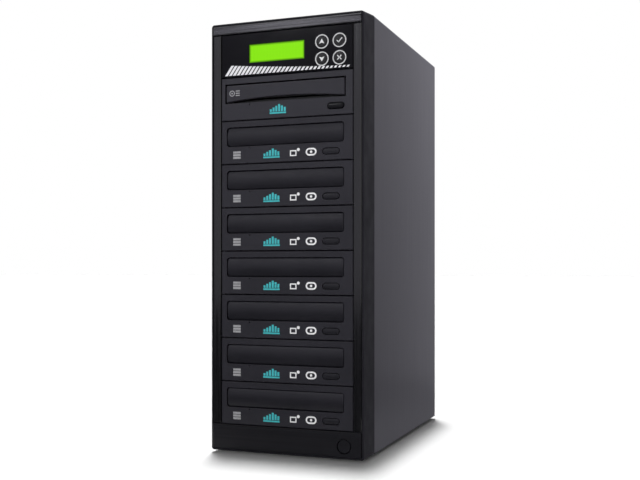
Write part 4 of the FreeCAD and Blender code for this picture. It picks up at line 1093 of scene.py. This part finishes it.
def flag_cloth(name, upwards, across):
    """Cloth whose glow is the product of a level that follows its height and one that follows its side."""
    finish, tree, shader = new_finish(name)
    shader.inputs["Base Color"].default_value = (0.0, 0.0, 0.0, 1.0)
    shader.inputs["Specular IOR Level"].default_value = 0.0
    shader.inputs["Emission Color"].default_value = FLAG_TINT
    parts = tree.nodes.new("ShaderNodeSeparateXYZ")
    tree.links.new(pattern_place(tree), parts.inputs["Vector"])
    glow_up = level_ramp(tree, parts.outputs["Z"], upwards)
    glow_across = level_ramp(tree, parts.outputs["X"], across)
    tree.links.new(reckon(tree, "MULTIPLY", glow_up, glow_across), shader.inputs["Emission Strength"])
    return finish


# %% Flags
FLAG_LIFT = 4.0 * MM
FLAG_BEND_STEPS = 12
front_upwards = [(0.0, 0.05), (0.08, 0.70), (0.7, 0.80), (1.1, 0.85), (1.5, 1.0), (3.0, 1.0)]
front_across = [(-4.0, 1.0), (4.0, 1.0)]
side_upwards = [(0.0, 0.32), (0.04, 0.50), (0.28, 0.64), (0.55, 0.92), (1.2, 1.0)]
side_across = [(0.05, 1.0), (0.14, 0.94), (0.24, 0.42), (1.0, 0.42)]


def flag_sheet(name, start, wall, bend_radius, upwards, across):
    """A section that runs along the floor, turns up in a quarter circle and ends as a wall, along X."""
    bend = np.linspace(0.0, np.pi / 2, FLAG_BEND_STEPS)
    way = np.sign(wall)
    section_y = np.concatenate([[start], wall - way * bend_radius * (1 - np.sin(bend)), [wall]])
    section_z = np.concatenate([[0.0], bend_radius * (1 - np.cos(bend)), [upwards[-1][0]]]) + FLAG_LIFT
    x = np.array([across[0][0], across[-1][0]])
    grid = np.stack(np.broadcast_arrays(x[:, None], section_y[None, :], section_z[None, :]), axis=-1)
    flag = stage_sheet(name, grid, flag_cloth(f"{name}_cloth", upwards, across))
    flag.visible_camera = False
    flag.visible_diffuse = False
    flag.visible_shadow = False
    flag.visible_transmission = False


flag_sheet("front_flag", start=-0.22, wall=-3.0, bend_radius=0.8, upwards=front_upwards, across=front_across)
flag_sheet("side_flag", start=-0.20, wall=0.36, bend_radius=0.05, upwards=side_upwards, across=side_across)
print("flags in front and to the right")

# %% [markdown]
# ## World
# The background is white to the camera, to reflections and through glass. As a light it is weak, because
# even light from all round would wash out the shadow. Light Path tells the two kinds of ray apart.

# %% World
LIGHT_LEVEL = 0.10
SEEN_LEVEL = 1.0
world = bpy.data.worlds.new("studio")
bpy.context.scene.world = world
world.use_nodes = True
sky = world.node_tree
soft_light = sky.nodes["Background"]
white = sky.nodes.new("ShaderNodeBackground")
for background, level in ((soft_light, LIGHT_LEVEL), (white, SEEN_LEVEL)):
    background.inputs["Color"].default_value = (1.0, 1.0, 1.0, 1.0)
    background.inputs["Strength"].default_value = level
ray = sky.nodes.new("ShaderNodeLightPath")
seen = ray.outputs["Is Camera Ray"]
for other in ("Is Glossy Ray", "Is Transmission Ray"):
    seen = reckon(sky, "MAXIMUM", seen, ray.outputs[other])
choose = sky.nodes.new("ShaderNodeMixShader")
sky.links.new(seen, choose.inputs["Fac"])
sky.links.new(soft_light.outputs["Background"], choose.inputs[1])
sky.links.new(white.outputs["Background"], choose.inputs[2])
sky.links.new(choose.outputs["Shader"], sky.nodes["World Output"].inputs["Surface"])
print("world strength as light", LIGHT_LEVEL)

# %% [markdown]
# ## Lamps
# Most light falls from a row of three lamps overhead, a little behind and to the left, which gives the soft
# shadow in front and at the right. One large lamp would give a wider, paler shadow. A fill lamp lights the
# front and isn't seen in reflections, and a small box puts the highlight on the top strip.

# %% Lamps overhead
OVERHEAD_LEVEL = 0.945 * np.pi
OVERHEAD_SPREAD = 4.6
OVERHEAD_TURNS = [(-3.2, -2.1), (-6.0, -3.0), (-8.8, -3.9)]
for number, turns in enumerate(OVERHEAD_TURNS, 1):
    lamp = bpy.data.lights.new(f"overhead_{number}", "SUN")
    lamp.angle = np.radians(OVERHEAD_SPREAD)
    lamp.energy = OVERHEAD_LEVEL / len(OVERHEAD_TURNS)
    holder = bpy.data.objects.new(f"overhead_{number}", lamp)
    holder.rotation_euler = (*np.radians(turns), 0.0)
    bpy.context.scene.collection.objects.link(holder)
print("lamps", len(bpy.data.lights))


# %% Fill and strip box
def soft_box(name, place, aim, wide, watts):
    """A square lamp at a place, turned so that it shines at the aim."""
    lamp = bpy.data.lights.new(name, "AREA")
    lamp.shape = "SQUARE"
    lamp.size = wide
    lamp.energy = watts
    holder = bpy.data.objects.new(name, lamp)
    holder.location = place
    holder.rotation_euler = (Vector(aim) - Vector(place)).to_track_quat("-Z", "Y").to_euler()
    bpy.context.scene.collection.objects.link(holder)
    return holder


front_fill = soft_box("front_fill", (0.3, -3.2, 0.55), aim=(0.0, 0.0, 0.25), wide=1.0, watts=40.0)
front_fill.visible_glossy = False
soft_box("strip_box", (-1.13, -2.9, 1.38), aim=(0.0, 0.0, 0.4), wide=0.26, watts=2.4)
print("lamps", len(bpy.data.lights))

# %% [markdown]
# ## Camera
# The camera stands right of the tower, at less than half its height, and looks level, so that upright edges
# stay upright. Tilting it would make them lean, so a small shift of the lens raises the frame instead.

# %% Camera
IMAGE_WIDTH = 640
SENSOR = 36.0
FOCAL_PIXELS = 931.69
SHIFT_PIXELS = 26.84
CAMERA_PLACE = (0.37016, -1.02835, 0.19577)
CAMERA_TURN = 0.3608
camera_data = bpy.data.cameras.new("camera")
camera_data.sensor_width = SENSOR
camera_data.lens = FOCAL_PIXELS * SENSOR / IMAGE_WIDTH
camera_data.shift_y = SHIFT_PIXELS / IMAGE_WIDTH
camera = bpy.data.objects.new("camera", camera_data)
camera.location = CAMERA_PLACE
camera.rotation_euler = (np.pi / 2, 0.0, CAMERA_TURN)
bpy.context.scene.collection.objects.link(camera)
bpy.context.scene.camera = camera
bpy.context.scene.view_settings.view_transform = "Standard"
print("lens", camera_data.lens)
